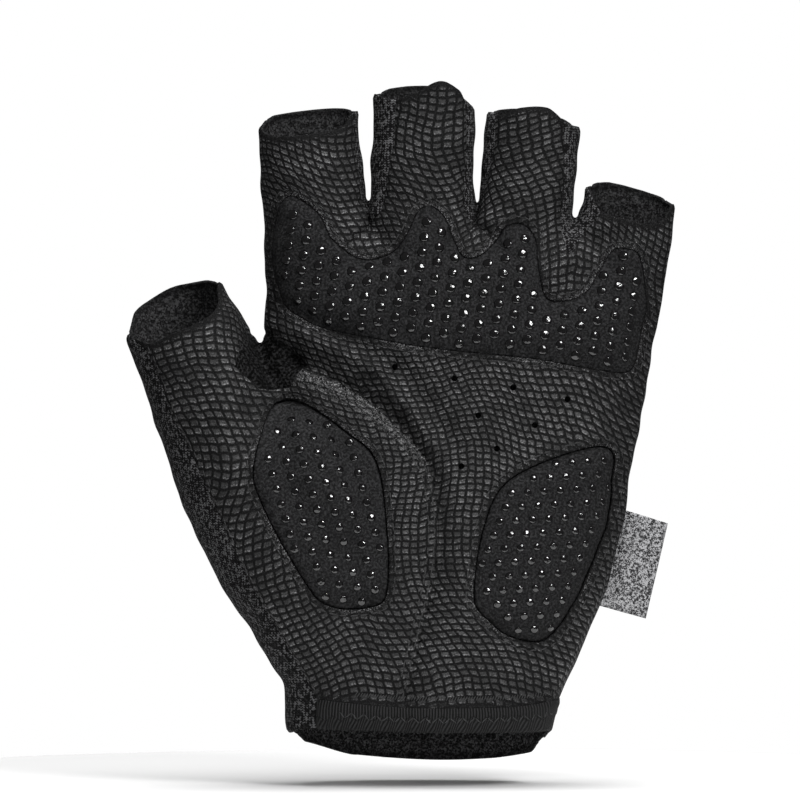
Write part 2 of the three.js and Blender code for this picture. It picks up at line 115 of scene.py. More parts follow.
# Edges: across, front height, back height. Finger edges stand above the last section by shares
# of FINGER_REACH, the thumb's by shares of THUMB_WIDTH; the wrist's drop by shares of PALM_HEIGHT.
INDEX_RIM = [
    (-1, -0.06, -0.05),
    (-0.88, -0.115, 0.0),
    (-0.7, -0.14, 0.045),
    (-0.3, -0.137, 0.075),
    (0.3, -0.11, 0.1),
    (0.7, -0.07, 0.1),
    (1, 0.07, 0.07),
]
MIDDLE_RIM = [
    (-1, 0.055, 0.055),
    (-0.7, 0.0, 0.11),
    (-0.2, 0.05, 0.135),
    (0.3, 0.142, 0.12),
    (0.7, 0.075, 0.02),
    (1, -0.05, -0.05),
]
RING_RIM = [
    (-1, 0.06, 0.06),
    (-0.7, 0.03, 0.09),
    (-0.3, 0.08, 0.1),
    (0.3, 0.08, 0.07),
    (0.7, -0.03, 0.01),
    (1, -0.06, -0.06),
]
LITTLE_RIM = [
    (-1, 0.08, 0.08),
    (-0.7, -0.12, 0.12),
    (-0.3, -0.16, 0.115),
    (0.3, -0.215, 0.06),
    (0.7, -0.2, 0.01),
    (1, -0.055, -0.055),
]
THUMB_RIM = [
    (-1, 0.0, 0.0),
    (-0.7, -0.175, 0.155),
    (-0.3, -0.2, 0.19),
    (0.15, -0.23, 0.19),
    (0.55, -0.23, 0.13),
    (0.8, -0.16, 0.08),
    (1, 0.0, 0.0),
]
WRIST_RIM = [
    (-1, -0.025, -0.025),
    (-0.9, -0.034, -0.002),
    (-0.55, -0.034, 0.024),
    (0.1, -0.03, 0.036),
    (0.6, -0.029, 0.032),
    (0.9, -0.028, 0.018),
    (1, -0.028, -0.012),
]

# Thumb from the heel to its edge: x, y, z, lean, half width, front depth, back depth.
# x is a share of PALM_WIDTH, z of PALM_HEIGHT, the rest of THUMB_WIDTH; lean is in degrees.
THUMB = [
    (-0.19, -0.1, 0.1, 8, 0.48, 0.57, 0.57),
    (-0.23, -0.18, 0.21, 14, 0.61, 0.68, 0.6),
    (-0.316, -0.25, 0.346, 20, 0.69, 0.73, 0.62),
    (-0.43, -0.25, 0.496, 24, 0.64, 0.68, 0.58),
    (-0.522, -0.22, 0.64, 27, 0.555, 0.63, 0.56),
    (-0.581, -0.18, 0.747, 29, 0.53, 0.55, 0.52),
    (-0.6255, -0.15, 0.82, 29.8, 0.5, 0.5, 0.5),
]

# Outlines and seams seen from the palm: x as a share of PALM_WIDTH, z of PALM_HEIGHT.
THENAR_SEAM = [
    (-0.304, 0.709),
    (-0.176, 0.669),
    (-0.082, 0.618),
    (0.018, 0.536),
    (0.048, 0.44),
    (0.043, 0.336),
    (0.008, 0.218),
    (-0.033, 0.088),
]
THUMB_SIDE_SEAM = [
    (-0.259, 0.088),
    (-0.301, 0.143),
    (-0.347, 0.205),
    (-0.446, 0.333),
    (-0.556, 0.517),
    (-0.62, 0.611),
    (-0.676, 0.718),
    (-0.703, 0.75),
]
KNUCKLE_PAD = [
    (-0.304, 0.804),
    (-0.345, 0.829),
    (-0.371, 0.888),
    (-0.373, 0.93),
    (-0.37, 0.987),
    (-0.348, 1.022),
    (-0.316, 1.029),
    (-0.253, 0.996),
    (-0.224, 0.951),
    (-0.176, 0.921),
    (-0.125, 0.912),
    (-0.067, 0.925),
    (-0.03, 0.959),
    (-0.004, 1.0),
    (0.028, 1.012),
    (0.064, 0.992),
    (0.086, 0.949),
    (0.111, 0.915),
    (0.156, 0.919),
    (0.194, 0.947),
    (0.22, 0.973),
    (0.264, 0.977),
    (0.296, 0.949),
    (0.302, 0.893),
    (0.321, 0.839),
    (0.372, 0.834),
    (0.423, 0.85),
    (0.455, 0.888),
    (0.487, 0.926),
    (0.526, 0.932),
    (0.562, 0.915),
    (0.577, 0.836),
    (0.57, 0.789),
    (0.551, 0.719),
    (0.523, 0.7),
    (0.462, 0.703),
    (0.27, 0.727),
    (0.054, 0.742),
    (-0.1, 0.761),
    (-0.24, 0.782),
]
THUMB_HEEL_PAD = [
    (-0.348, 0.648),
    (-0.296, 0.643),
    (-0.24, 0.62),
    (-0.176, 0.585),
    (-0.125, 0.555),
    (-0.097, 0.507),
    (-0.082, 0.414),
    (-0.077, 0.329),
    (-0.089, 0.277),
    (-0.132, 0.263),
    (-0.195, 0.261),
    (-0.246, 0.274),
    (-0.278, 0.301),
    (-0.336, 0.371),
    (-0.387, 0.442),
    (-0.416, 0.498),
    (-0.412, 0.545),
    (-0.393, 0.592),
    (-0.373, 0.63),
]
OUTER_HEEL_PAD = [
    (0.462, 0.562),
    (0.495, 0.547),
    (0.495, 0.498),
    (0.485, 0.442),
    (0.455, 0.371),
    (0.411, 0.291),
    (0.353, 0.224),
    (0.302, 0.198),
    (0.226, 0.21),
    (0.174, 0.24),
    (0.139, 0.273),
    (0.143, 0.338),
    (0.158, 0.399),
    (0.188, 0.465),
    (0.232, 0.503),
    (0.309, 0.532),
    (0.398, 0.554),
]
INDEX_MIDDLE_WEB = [
    (-0.122, 0.977),
    (-0.14, 0.998),
    (-0.169, 1.21),
    (-0.169, 1.4),
    (-0.062, 1.4),
    (-0.062, 1.208),
    (-0.07, 1.118),
    (-0.097, 0.998),
]
MIDDLE_RING_WEB = [
    (0.132, 0.972),
    (0.117, 1.006),
    (0.122, 1.118),
    (0.125, 1.4),
    (0.19, 1.4),
    (0.19, 1.135),
    (0.15, 1.0),
]
RING_LITTLE_WEB = [
    (0.378, 0.914),
    (0.362, 0.95),
    (0.365, 1.024),
    (0.373, 1.147),
    (0.373, 1.4),
    (0.455, 1.4),
    (0.455, 1.0),
    (0.41, 0.95),
]
GUSSET = [
    (-0.304, 0.712),
    (-0.33, 0.672),
    (-0.4, 0.672),
    (-0.465, 0.71),
    (-0.44, 0.775),
    (-0.36, 0.775),
]
TAPE_TOP = [
    (-0.26, 0.09),
    (-0.036, 0.076),
    (0.204, 0.076),
    (0.32, 0.082),
    (0.42, 0.094),
]
OUTER_WRAP = [
    (0.27, -0.08),
    (0.3, 0.08),
    (0.42, 0.3),
    (0.49, 0.6),
    (0.55, 0.83),
    (0.58, 1.1),
]
AIR_HOLES = [
    (-0.061, 0.71),
    (0.089, 0.689),
    (0.237, 0.672),
    (0.375, 0.65),
    (0.149, 0.62),
    (0.292, 0.602),
    (0.196, 0.558),
    (0.106, 0.526),
]
SIDE_TAG = [
    (0.52, 0.443),
    (0.633, 0.417),
    (0.577, 0.238),
    (0.455, 0.263),
]

# Balls that fill the crotch between thumb and index, and the mound of the thumb: centre as shares
# of PALM_WIDTH, PALM_DEPTH and PALM_HEIGHT, lean in degrees, then half sizes in the same shares.
FILLERS = [
    (-0.395, 0.02, 0.69, 0, 0.045, 0.17, 0.065),
    (-0.475, -0.02, 0.79, 32, 0.036, 0.15, 0.11),
    (-0.255, -0.29, 0.46, 20, 0.12, 0.32, 0.17),
]

# Folds of the palm leather: start x and z, end x and z in the same shares, then the fold's
# half width and its height in millimetres, which is negative for a valley.
FOLDS = [
    (-0.329, 0.742, -0.048, 0.611, 2.6, -1.6),
    (-0.048, 0.611, 0.03, 0.5, 2.6, -1.1),
    (-0.291, 0.771, -0.1, 0.701, 2.0, 1.3),
    (-0.1, 0.701, 0.04, 0.555, 2.2, 1.3),
    (-0.28, 0.8, -0.05, 0.71, 2.4, -1.0),
    (-0.05, 0.71, 0.09, 0.57, 2.8, -0.9),
    (-0.503, 0.8, -0.48, 0.517, 4.6, 0.9),
    (-0.42, 0.64, -0.44, 0.56, 3.0, -0.7),
    (0.095, 0.517, 0.11, 0.235, 4.0, 0.7),
    (-0.036, 0.46, -0.048, 0.25, 2.6, 0.7),
    (-0.227, 0.103, 0.309, 0.103, 2.6, -0.7),
    (-0.05, 1.02, 0.12, 1.01, 2.2, -0.5),
    (-0.2, 0.93, -0.13, 1.0, 2.6, 1.1),
    (0.1, 0.93, 0.18, 0.98, 2.6, 1.1),
    (0.33, 0.87, 0.41, 0.96, 2.8, 1.4),
    (-0.37, 1.03, -0.29, 1.05, 2.2, -0.4),
    (0.42, 0.95, 0.6, 0.96, 2.4, -0.5),
]

# Round dents and humps: centre x and z in the same shares, half width and height in millimetres.
DENTS = [
    (-0.325, 0.722, 2.6, -3.4),
    (-0.36, 0.69, 3.2, -1.0),
    (-0.13, 0.98, 4.0, 0.5),
    (0.13, 0.975, 4.0, 0.5),
]

# Bounds between the fingers as shares of PALM_WIDTH. The last one leans outwards, by so much for
# each share of PALM_HEIGHT above a height.
FINGER_BOUNDS = (-0.1265, 0.1465, 0.39)
RING_LEAN = 0.3
RING_LEAN_FROM = 0.976

# Channels, rolls and ridges of the surface: depth or height, then half width, in millimetres.
SEAM_CHANNEL = (0.45, 0.8)
EDGE_ROLL = (0.4, 0.8)
THENAR_VALLEY = (1.0, 2.6)
THENAR_RIDGE = (0.35, 2.0)

# Rough grain along the seam of the thumb's mound, broken up with painted glints, and smooth hems round
# the pads and the tape,
# darkened as painted shade: strength, then half width in millimetres.
ROUGH_BAND = (1.25, 4.0)
PAD_HEM_SHADE = (0.75, 2.1)
TAPE_HEM_SHADE = (0.85, 2.2)

# Heights between which the rough grain sets in, and distances from an edge between which its
# smooth hem, darkened as painted shade, ends, in millimetres.
ROUGH_HEIGHTS = (55, 85)
EDGE_HEM_SHADE = (0.8, 2.6)

# Long slow waves of the surface: each across and up in radians for a millimetre, then the height
# of the group in millimetres.
WAVES = [
    (((0.31, 0.12), (0.17, -0.26), (-0.08, 0.37)), 0.14),
    (((0.63, -0.41), (0.52, 0.6), (-0.2, 0.83)), 0.06),
]

# How far the tape laps over its neighbours, in millimetres, and how much of the window gap stays
# round the pad below the fingers.
TAPE_LAP = 0.15
KNUCKLE_GAP_SHARE = 0.15

# Pads: outline, solid, then in millimetres how far in the crown is full and how deep the edge sits.
PAD_CROWNS = [
    ("knuckle", "knuckle_pad", 6.0, 0.4),
    ("thumb_heel", "thumb_heel_pad", 8.0, 0.7),
    ("outer_heel", "outer_heel_pad", 8.0, 0.7),
]

# Embossed cells of the leather, in millimetres.
CELL_WIDTH = 2.25
CELL_HEIGHT = 1.64

# Stage: floor in metres, lights as name, place, width and power, and the camera.
FLOOR_RADIUS = 0.17
FLOOR_LEVEL = -0.0099
LIGHTS = [
    ("top", (0.0, -0.03, 1.05), 0.9, 19.0),
    ("key", (0.5, -0.75, 0.75), 0.36, 11.0),
    ("fill", (-0.4, -0.95, 0.42), 0.8, 4.2),
]
LIGHT_AIM = (0, 0, 0.08)
ROOM_LIGHT = 0.1
CAMERA_LENS = 300
CAMERA_SENSOR = 36
CAMERA_WIDTH_SEEN = 0.2
CAMERA_ACROSS = -0.00475
CAMERA_HEIGHT = 0.08625


class GloveSizes(bpy.types.PropertyGroup):
    """Sizes that a user would change"""

    wall: bpy.props.FloatProperty(
        name="Leather thickness", description="Thickness of the leather and knit", default=0.8 * MM,
        unit="LENGTH",
    )
    gap: bpy.props.FloatProperty(
        name="Seam gap", description="Gap between two sewn pieces", default=0.04 * MM, unit="LENGTH",
    )
    window_gap: bpy.props.FloatProperty(
        name="Window gap", description="Gap between a pad and the leather round it",
        default=0.3 * MM, unit="LENGTH",
    )
    pad_rise: bpy.props.FloatProperty(
        name="Pad rise", description="How far a pad stands proud of the leather",
        default=1.3 * MM, unit="LENGTH",
    )
    tape_rise: bpy.props.FloatProperty(
        name="Tape rise", description="How far the tape stands proud of the leather",
        default=0.5 * MM, unit="LENGTH",
    )
    dot: bpy.props.FloatProperty(
        name="Grip dot", description="Width of a grip dot below the fingers", default=2.5 * MM,
        unit="LENGTH",
    )
    stitch: bpy.props.FloatProperty(
        name="Stitch", description="Length of a stitch", default=1.9 * MM, unit="LENGTH",
    )
    hole: bpy.props.FloatProperty(
        name="Air hole", description="Width of an air hole", default=1.6 * MM, unit="LENGTH",
    )
    fine: bpy.props.FloatProperty(
        name="Mesh size", description="Size of the surface mesh's cells", default=0.6 * MM,
        unit="LENGTH",
    )
    coarse: bpy.props.FloatProperty(
        name="Back mesh size", description="Size of the mesh cells on the back", default=0.9 * MM,
        unit="LENGTH",
    )


class GloveColours(bpy.types.PropertyGroup):
    """Colours that a user would change"""

    leather: bpy.props.FloatVectorProperty(
        name="Leather", description="Raised cells of the embossed leather", subtype="COLOR",
        size=4, default=(0.05, 0.05, 0.051, 1),
    )
    groove: bpy.props.FloatVectorProperty(
        name="Leather groove", description="Grooves between the cells", subtype="COLOR",
        size=4, default=(0.005, 0.005, 0.0051, 1),
    )
    # Painted highlight: a light colour laid on the lower edges of the cells and on specks in the rough
    # band, where the light would glint
    painted_glint: bpy.props.FloatVectorProperty(
        name="Leather edge", description="Lighter lower edges of the cells", subtype="COLOR",
        size=4, default=(0.27, 0.27, 0.274, 1),
    )
    knit: bpy.props.FloatVectorProperty(
        name="Knit", description="Knit back and finger sides", subtype="COLOR",
        size=4, default=(0.085, 0.085, 0.087, 1),
    )
    pad: bpy.props.FloatVectorProperty(
        name="Pad", description="Suede-like cover of the pads", subtype="COLOR",
        size=4, default=(0.029, 0.029, 0.03, 1),
    )
    tag: bpy.props.FloatVectorProperty(
        name="Label", description="Light yarn of the folded label", subtype="COLOR",
        size=4, default=(0.4, 0.4, 0.41, 1),
    )
    thread: bpy.props.FloatVectorProperty(
        name="Thread", description="Sewing thread", subtype="COLOR",
        size=4, default=(0.034, 0.034, 0.035, 1),
    )


def sizes():
    return bpy.context.scene.glove_sizes


def colour(name):
    return tuple(getattr(bpy.context.scene.glove_colours, name))


# Tables and lines


def between(table, place):
    """Smooth rows of a table at places between its rows."""
    rows = np.asarray(table, float)
    last = len(rows) - 1
    row = np.clip(np.floor(place).astype(int), 0, last - 1)
    share = (np.asarray(place, float) - row)[:, None]

    def value(i):
        return rows[np.clip(i, 0, last)]

    before, low, high, after = (value(row + k) for k in (-1, 0, 1, 2))
    leave = (high - before) / 2
    arrive = (after - low) / 2
    square = share * share
    cube = square * share
    return (
        low * (2 * cube - 3 * square + 1)
        + leave * (cube - 2 * square + share)
        + high * (3 * square - 2 * cube)
        + arrive * (cube - square)
    )


def rim_heights(rim, across, back_share):
    """Height of an edge at places across a tube, from its front to its back."""
    rows = np.asarray(rim, float)
    row = np.clip(np.searchsorted(rows[:, 0], across, side="right") - 1, 0, len(rows) - 2)
    share = np.clip((across - rows[row, 0]) / (rows[row + 1, 0] - rows[row, 0]), 0, 1)
    value = between(rows, row + share)
    return value[:, 1] + (value[:, 2] - value[:, 1]) * back_share


def places(rows):
    return [np.array((x * PALM_WIDTH, z * PALM_HEIGHT)) for x, z in rows]


def smooth_line(rows, closed, steps=6):
    """A smooth line through the rows of an outline or seam."""
    points = places(rows)
    count = len(points)
    line = []
    for i in range(count if closed else count - 1):
        if closed:
            p = [points[(i + k) % count] for k in (-1, 0, 1, 2)]
        else:
            p = [points[min(max(i + k, 0), count - 1)] for k in (-1, 0, 1, 2)]
        for step in range(steps):
            t = step / steps
            line.append(
                0.5
                * (
                    2 * p[1]
                    + (p[2] - p[0]) * t
                    + (2 * p[0] - 5 * p[1] + 4 * p[2] - p[3]) * t**2
                    + (3 * p[1] - p[0] - 3 * p[2] + p[3]) * t**3
                )
            )
    if not closed:
        line.append(points[-1])
    return np.array(line)


def corner(x, z):
    return np.array([(x * PALM_WIDTH, z * PALM_HEIGHT)])


THENAR_LINE = smooth_line(THENAR_SEAM, False)
THUMB_SIDE_LINE = smooth_line(THUMB_SIDE_SEAM, False)
TAPE_LINE = smooth_line(TAPE_TOP, False)

OUTLINES = {
    "knuckle": smooth_line(KNUCKLE_PAD, True, 3),
    "thumb_heel": smooth_line(THUMB_HEEL_PAD, True, 4),
    "outer_heel": smooth_line(OUTER_HEEL_PAD, True, 4),
    "index_middle": np.array(places(INDEX_MIDDLE_WEB)),
    "middle_ring": np.array(places(MIDDLE_RING_WEB)),
    "ring_little": np.array(places(RING_LITTLE_WEB)),
    "gusset": np.array(places(GUSSET)),
    "tape": np.concatenate([TAPE_LINE, corner(0.42, -0.1), corner(-0.26, -0.1)]),
    "thumb": np.concatenate(
        [
            THENAR_LINE,
            corner(-0.033, -0.1),
            corner(-0.259, -0.1),
            THUMB_SIDE_LINE,
            corner(-0.8, 0.8),
            corner(-0.7, 0.95),
            corner(-0.45, 0.95),
            corner(-0.38, 0.76),
        ]
    ),
    "palm": np.concatenate(
        [
            THENAR_LINE[::-1],
            corner(-0.39, 0.75),
            corner(-0.5, 0.77),
            corner(-0.5, 1.4),
            corner(0.75, 1.4),
            corner(0.75, -0.1),
            corner(-0.033, -0.1),
        ]
    ),
    "index_wrap": np.concatenate(
        [corner(-0.5, 0.76), corner(-0.5, 1.4), corner(-0.35, 1.4), corner(-0.35, 0.76)]
    ),
    "outer_wrap": np.concatenate(
        [smooth_line(OUTER_WRAP, False), corner(0.75, 1.1), corner(0.75, -0.08)]
    ),
}

# How far each region reaches towards the back, as shares of PALM_DEPTH.
FRONT, WEB, MESH_PATCH, WRAP = 0.0, 0.1, 0.16, 0.13
REGIONS = {
    "knuckle": [("knuckle", FRONT)],
    "thumb_heel": [("thumb_heel", FRONT)],
    "outer_heel": [("outer_heel", FRONT)],
    "index_middle": [("index_middle", WEB)],
    "middle_ring": [("middle_ring", WEB)],
    "ring_little": [("ring_little", WEB)],
    "gusset": [("gusset", MESH_PATCH)],
    "tape": [("tape", FRONT)],
    "thumb": [("thumb", FRONT)],
    "palm": [("palm", FRONT), ("index_wrap", WRAP), ("outer_wrap", WRAP)],
}
ORDER = list(REGIONS)
PADS = ("knuckle", "thumb_heel", "outer_heel")


def depth_inside(outline, points):
    """How far inside an outline each point lies, seen from the palm, or minus how far outside."""
    start = outline
    edge = np.roll(outline, -1, axis=0) - start
    length = np.maximum((edge**2).sum(1), 1e-18)
    nearest = np.empty(len(points))
    inside = np.empty(len(points), bool)
    block = 20000
    for low in range(0, len(points), block):
        p = points[low : low + block][:, None, :]
        away = p - start[None]
        share = np.clip((away * edge[None]).sum(2) / length[None], 0, 1)
        foot = away - share[:, :, None] * edge[None]
        nearest[low : low + block] = np.sqrt((foot**2).sum(2).min(1))
        above = start[None, :, 1] > p[:, :, 1]
        end_above = (start + edge)[None, :, 1] > p[:, :, 1]
        rise = np.where(np.abs(edge[:, 1]) < 1e-12, 1e-12, edge[:, 1])
        cross = start[None, :, 0] + (p[:, :, 1] - start[None, :, 1]) / rise[None] * edge[None, :, 0]
        hits = (above != end_above) & (p[:, :, 0] < cross)
        inside[low : low + block] = hits.sum(1) % 2 == 1
    return np.where(inside, nearest, -nearest)


def distance_to_line(line, points):
    """Distance of each point from an open line, seen from the palm."""
    best = np.full(len(points), 1e9)
    for a, b in zip(line[:-1], line[1:]):
        edge = b - a
        share = np.clip(((points - a) @ edge) / max(edge @ edge, 1e-18), 0, 1)
        best = np.minimum(best, np.linalg.norm(points - a - share[:, None] * edge, axis=1))
    return best


def bell(away, width):
    """1 on a line, falling softly to nothing at about twice the width away, in millimetres."""
    return np.exp(-((away / (width * MM)) ** 2))


def soft_step(value, low, high):
    share = np.clip((value - low) / (high - low), 0, 1)
    return share * share * (3 - 2 * share)


# The hand's form


def upright(rows, front, back, y, tail):
    """Sections of an upright tube, lengthened past its last row by a tail."""
    table = [
        ((left + right) / 2 * PALM_WIDTH, y, up * PALM_HEIGHT, 0.0,
         (right - left) / 2 * PALM_WIDTH, front(depths), back(depths))
        for up, left, right, *depths in rows
    ]
    end = list(table[-1])
    end[2] += tail
    return table + [tuple(end)]


def section_tables():
    """Each tube of the hand: its sections, its oval's power and its number of sides."""
    body = upright(BODY, lambda d: d[0] * PALM_DEPTH, lambda d: d[1] * PALM_DEPTH, 0.0, 0.0)[:-1]
    foot = list(body[0])
    foot[2] -= WRIST_TAIL * MM
    tubes = [([tuple(foot)] + body, 2.6, 96)]
    half = FINGER_DEPTH / 2

    def depth(share):
        return share[0] * half

    for rows in (INDEX, MIDDLE, RING, LITTLE):
        tubes.append((upright(rows, depth, depth, -0.04 * FINGER_DEPTH, TUBE_TAIL * MM), 2.25, 56))
    thumb = [
        (x * PALM_WIDTH, y * THUMB_WIDTH, z * PALM_HEIGHT, math.radians(lean),
         half * THUMB_WIDTH, front * THUMB_WIDTH, back * THUMB_WIDTH)
        for x, y, z, lean, half, front, back in THUMB
    ]
    end = list(thumb[-1])
    end[0] -= math.sin(end[3]) * TUBE_TAIL * MM
    end[2] += math.cos(end[3]) * TUBE_TAIL * MM
    tubes.append((thumb + [tuple(end)], 2.15, 64))
    return tubes


def add_tube(bm, sections, power, sides):
    """A closed tube: a grid rolled up through the sections, with both ends filled."""
    grid = bmesh.ops.create_grid(bm, x_segments=sides, y_segments=len(sections) * 4, size=1)
    verts = grid["verts"]
    flat = np.array([v.co[:2] for v in verts])
    angle = (flat[:, 0] + 1) * math.pi
    row = between(sections, (flat[:, 1] + 1) / 2 * (len(sections) - 1))
    x, y, z, lean, half, front, back = row.T
    u = np.sign(np.cos(angle)) * np.abs(np.cos(angle)) ** (2 / power)
    v = np.sign(np.sin(angle)) * np.abs(np.sin(angle)) ** (2 / power)
    depth = np.where(v < 0, front, back)
    place = np.stack(
        [x + np.cos(lean) * u * half, y + v * depth, z + np.sin(lean) * u * half], axis=1
    )
    for vert, co in zip(verts, place):
        vert.co = co
    bmesh.ops.remove_doubles(bm, verts=verts, dist=1e-6)
    open_edges = [e for e in bm.edges if e.is_boundary]
    bmesh.ops.holes_fill(bm, edges=open_edges, sides=0)


def mesh_arrays(mesh):
    co = np.empty(len(mesh.vertices) * 3, np.float32)
    mesh.vertices.foreach_get("co", co)
    normal = np.empty(len(mesh.vertices) * 3, np.float32)
    mesh.vertices.foreach_get("normal", normal)
    return co.reshape(-1, 3).astype(float), normal.reshape(-1, 3).astype(float)


def evaluated_mesh(obj):
    graph = bpy.context.evaluated_depsgraph_get()
    return bpy.data.meshes.new_from_object(obj.evaluated_get(graph))


def hand_skin(cell):
    """The hand's closed outer form, as one even mesh with the tubes melted together."""
    bm = bmesh.new()
    for sections, power, sides in section_tables():
        part = bmesh.new()
        add_tube(part, sections, power, sides)
        bmesh.ops.recalc_face_normals(part, faces=part.faces)
        loose = bpy.data.meshes.new("tube")
        part.to_mesh(loose)
        part.free()
        bm.from_mesh(loose)
        bpy.data.meshes.remove(loose)
    for x, y, z, lean, wide, deep, high in FILLERS:
        spot = Matrix.Translation((x * PALM_WIDTH, y * PALM_DEPTH, z * PALM_HEIGHT))
        turn = Matrix.Rotation(math.radians(-lean), 4, "Y")
        size = Matrix.Diagonal((wide * PALM_WIDTH, deep * PALM_DEPTH, high * PALM_HEIGHT, 1))
        bmesh.ops.create_uvsphere(
            bm, u_segments=32, v_segments=20, radius=1, matrix=spot @ turn @ size
        )
    mesh = bpy.data.meshes.new("hand_form")
    bm.to_mesh(mesh)
    bm.free()
    obj = bpy.data.objects.new("hand_form", mesh)
    bpy.context.scene.collection.objects.link(obj)
    remesh = obj.modifiers.new("even", "REMESH")
    remesh.mode = "VOXEL"
    remesh.voxel_size = cell
    even = evaluated_mesh(obj)
    bpy.data.objects.remove(obj)
    bpy.data.meshes.remove(mesh)
    return relaxed(even, cell)


def relaxed(skin, cell):
    """Melts the tubes together, more over the palm and thumb than between the fingers."""
    bm = bmesh.new()
    bm.from_mesh(skin)
    palm = [v for v in bm.verts if v.co.z < 0.88 * PALM_HEIGHT]
    for step in range(int(round(9 * MM / cell))):
        bmesh.ops.smooth_vert(
            bm, verts=bm.verts if step < 3 else palm, factor=0.6,
            use_axis_x=True, use_axis_y=True, use_axis_z=True,
        )
    bm.to_mesh(skin)
    bm.free()
    return skin


def finger_of(points):
    """Number of the finger that each point belongs to, from the index at 0."""
    x = points[:, 0] / PALM_WIDTH
    after_index, after_middle, after_ring = FINGER_BOUNDS
    lean = RING_LEAN * np.maximum(points[:, 2] / PALM_HEIGHT - RING_LEAN_FROM, 0)
    return (x > after_index).astype(int) + (x > after_middle) + (x > after_ring + lean)


def edge_depth(points):
    """How far each point lies inside the glove's edges at the wrist, fingers and thumb."""
    x, y, z = points.T
    back_share = soft_step(y, -4 * MM, 4 * MM)
    _, left, right, _, _ = BODY[0]
    across = np.clip(
        (x / PALM_WIDTH - (left + right) / 2) / ((right - left) / 2), -1, 1
    )
    depth = z + rim_heights(WRIST_RIM, across, back_share) * PALM_HEIGHT
    finger = finger_of(points)
    for i, (rows, rim) in enumerate(
        [(INDEX, INDEX_RIM), (MIDDLE, MIDDLE_RIM), (RING, RING_RIM), (LITTLE, LITTLE_RIM)]
    ):
        up, left, right, _ = rows[-1]
        across = np.clip((x / PALM_WIDTH - (left + right) / 2) / ((right - left) / 2), -1, 1)
        top = up * PALM_HEIGHT + rim_heights(rim, across, back_share) * FINGER_REACH
        depth = np.where(finger == i, np.minimum(depth, top - z), depth)
    tx, ty, tz, lean, half, _, _ = THUMB[-1]
    lean = math.radians(lean)
    dx = x - tx * PALM_WIDTH
    dz = z - tz * PALM_HEIGHT
    across = np.clip((dx * math.cos(lean) + dz * math.sin(lean)) / (half * THUMB_WIDTH), -1, 1)
    along = dz * math.cos(lean) - dx * math.sin(lean)
    back_share = soft_step(y - ty * THUMB_WIDTH, -4 * MM, 4 * MM)
    top = rim_heights(THUMB_RIM, across, back_share) * THUMB_WIDTH
    on_thumb = (x < -0.42 * PALM_WIDTH) & (z > 0.6 * PALM_HEIGHT)
    return np.where(on_thumb, np.minimum(depth, top - along), depth)


def region_depth(name, points):
    """How far inside a region each point lies."""
    flat = points[:, [0, 2]]
    best = np.full(len(points), -1.0)
    for outline, reach in REGIONS[name]:
        depth = np.minimum(
            depth_inside(OUTLINES[outline], flat), reach * PALM_DEPTH - points[:, 1]
        )
        best = np.maximum(best, depth)
    return best


def region_seam(line, points):
    """Distance from a seam, on the palm side only."""
    away = distance_to_line(line, points[:, [0, 2]])
    return np.where(points[:, 1] < 0, away, 1.0)


def oval_arc(u, v, half, depth, power):
    """Length along an oval from the middle of its front to each place on it."""
    angle = np.linspace(0, math.pi, 181)
    ox = np.sin(angle) ** (2 / power)
    oy = -np.sign(np.cos(angle)) * np.abs(np.cos(angle)) ** (2 / power)
    here = np.arctan2(np.abs(u) / half, -v / depth)
    on_oval = np.arctan2(ox, -oy)
    shares = np.concatenate([[0], np.cumsum(np.hypot(np.diff(ox), np.diff(oy)))])
    scale = (half + depth) / 2
    return np.interp(here, on_oval, shares) * scale


def grain_places(points):
    """Places on the surface for the grain, measured round each tube instead of straight through."""
    tubes = section_tables()
    finger = finger_of(points)
    x, y, z = points.T

    def extra(index, along):
        sections, power, _ = tubes[index]
        rows = np.asarray(sections)
        place = np.interp(along, rows[:, 2], np.arange(len(rows)))
        cx, cy, cz, lean, half, front, back = between(rows, place).T
        u = (x - cx) * np.cos(lean) + (z - cz) * np.sin(lean)
        arc = oval_arc(u, y - cy, half, np.where(y < cy, front, back), power)
        more = np.sign(u) * np.maximum(arc - np.abs(u), 0)
        return np.stack([more * np.cos(lean), more * np.sin(lean)], axis=1)

    on_finger = soft_step(z, 0.88 * PALM_HEIGHT, 1.02 * PALM_HEIGHT)[:, None]
    body = extra(0, z)
    fingers = np.zeros_like(body)
    for i in range(4):
        fingers = np.where((finger == i)[:, None], extra(i + 1, z), fingers)
    share = body * (1 - on_finger) + fingers * on_finger
    on_thumb = soft_step(-x / PALM_WIDTH, 0.38, 0.46)[:, None] * (z < 0.9 * PALM_HEIGHT)[:, None]
    lean = math.radians(26)
    along = (z * math.cos(lean) - x * math.sin(lean)) * math.cos(lean)
    share = share * (1 - on_thumb) + extra(5, np.clip(along, 0.1 * PALM_HEIGHT, None)) * on_thumb
    return np.stack([x + share[:, 0], np.zeros_like(y), z + share[:, 1]], axis=1)


def relief(points):
    """How far folds and soft wrinkles make the surface stand out at each point."""
    flat = points[:, [0, 2]]
    front = soft_step(-points[:, 1], 2 * MM, 8 * MM)
    rise = np.zeros(len(points))
    for x0, z0, x1, z1, width, height in FOLDS:
        line = np.concatenate([corner(x0, z0), corner(x1, z1)])
        away = distance_to_line(line, flat)
        rise += front * height * MM * bell(away, width)
    for waves, size in WAVES:
        for i, (a, b) in enumerate(waves):
            rise += size * MM * np.sin(flat[:, 0] / MM * a + flat[:, 1] / MM * b + 1.7 * i)
    return rise


FORM = {}


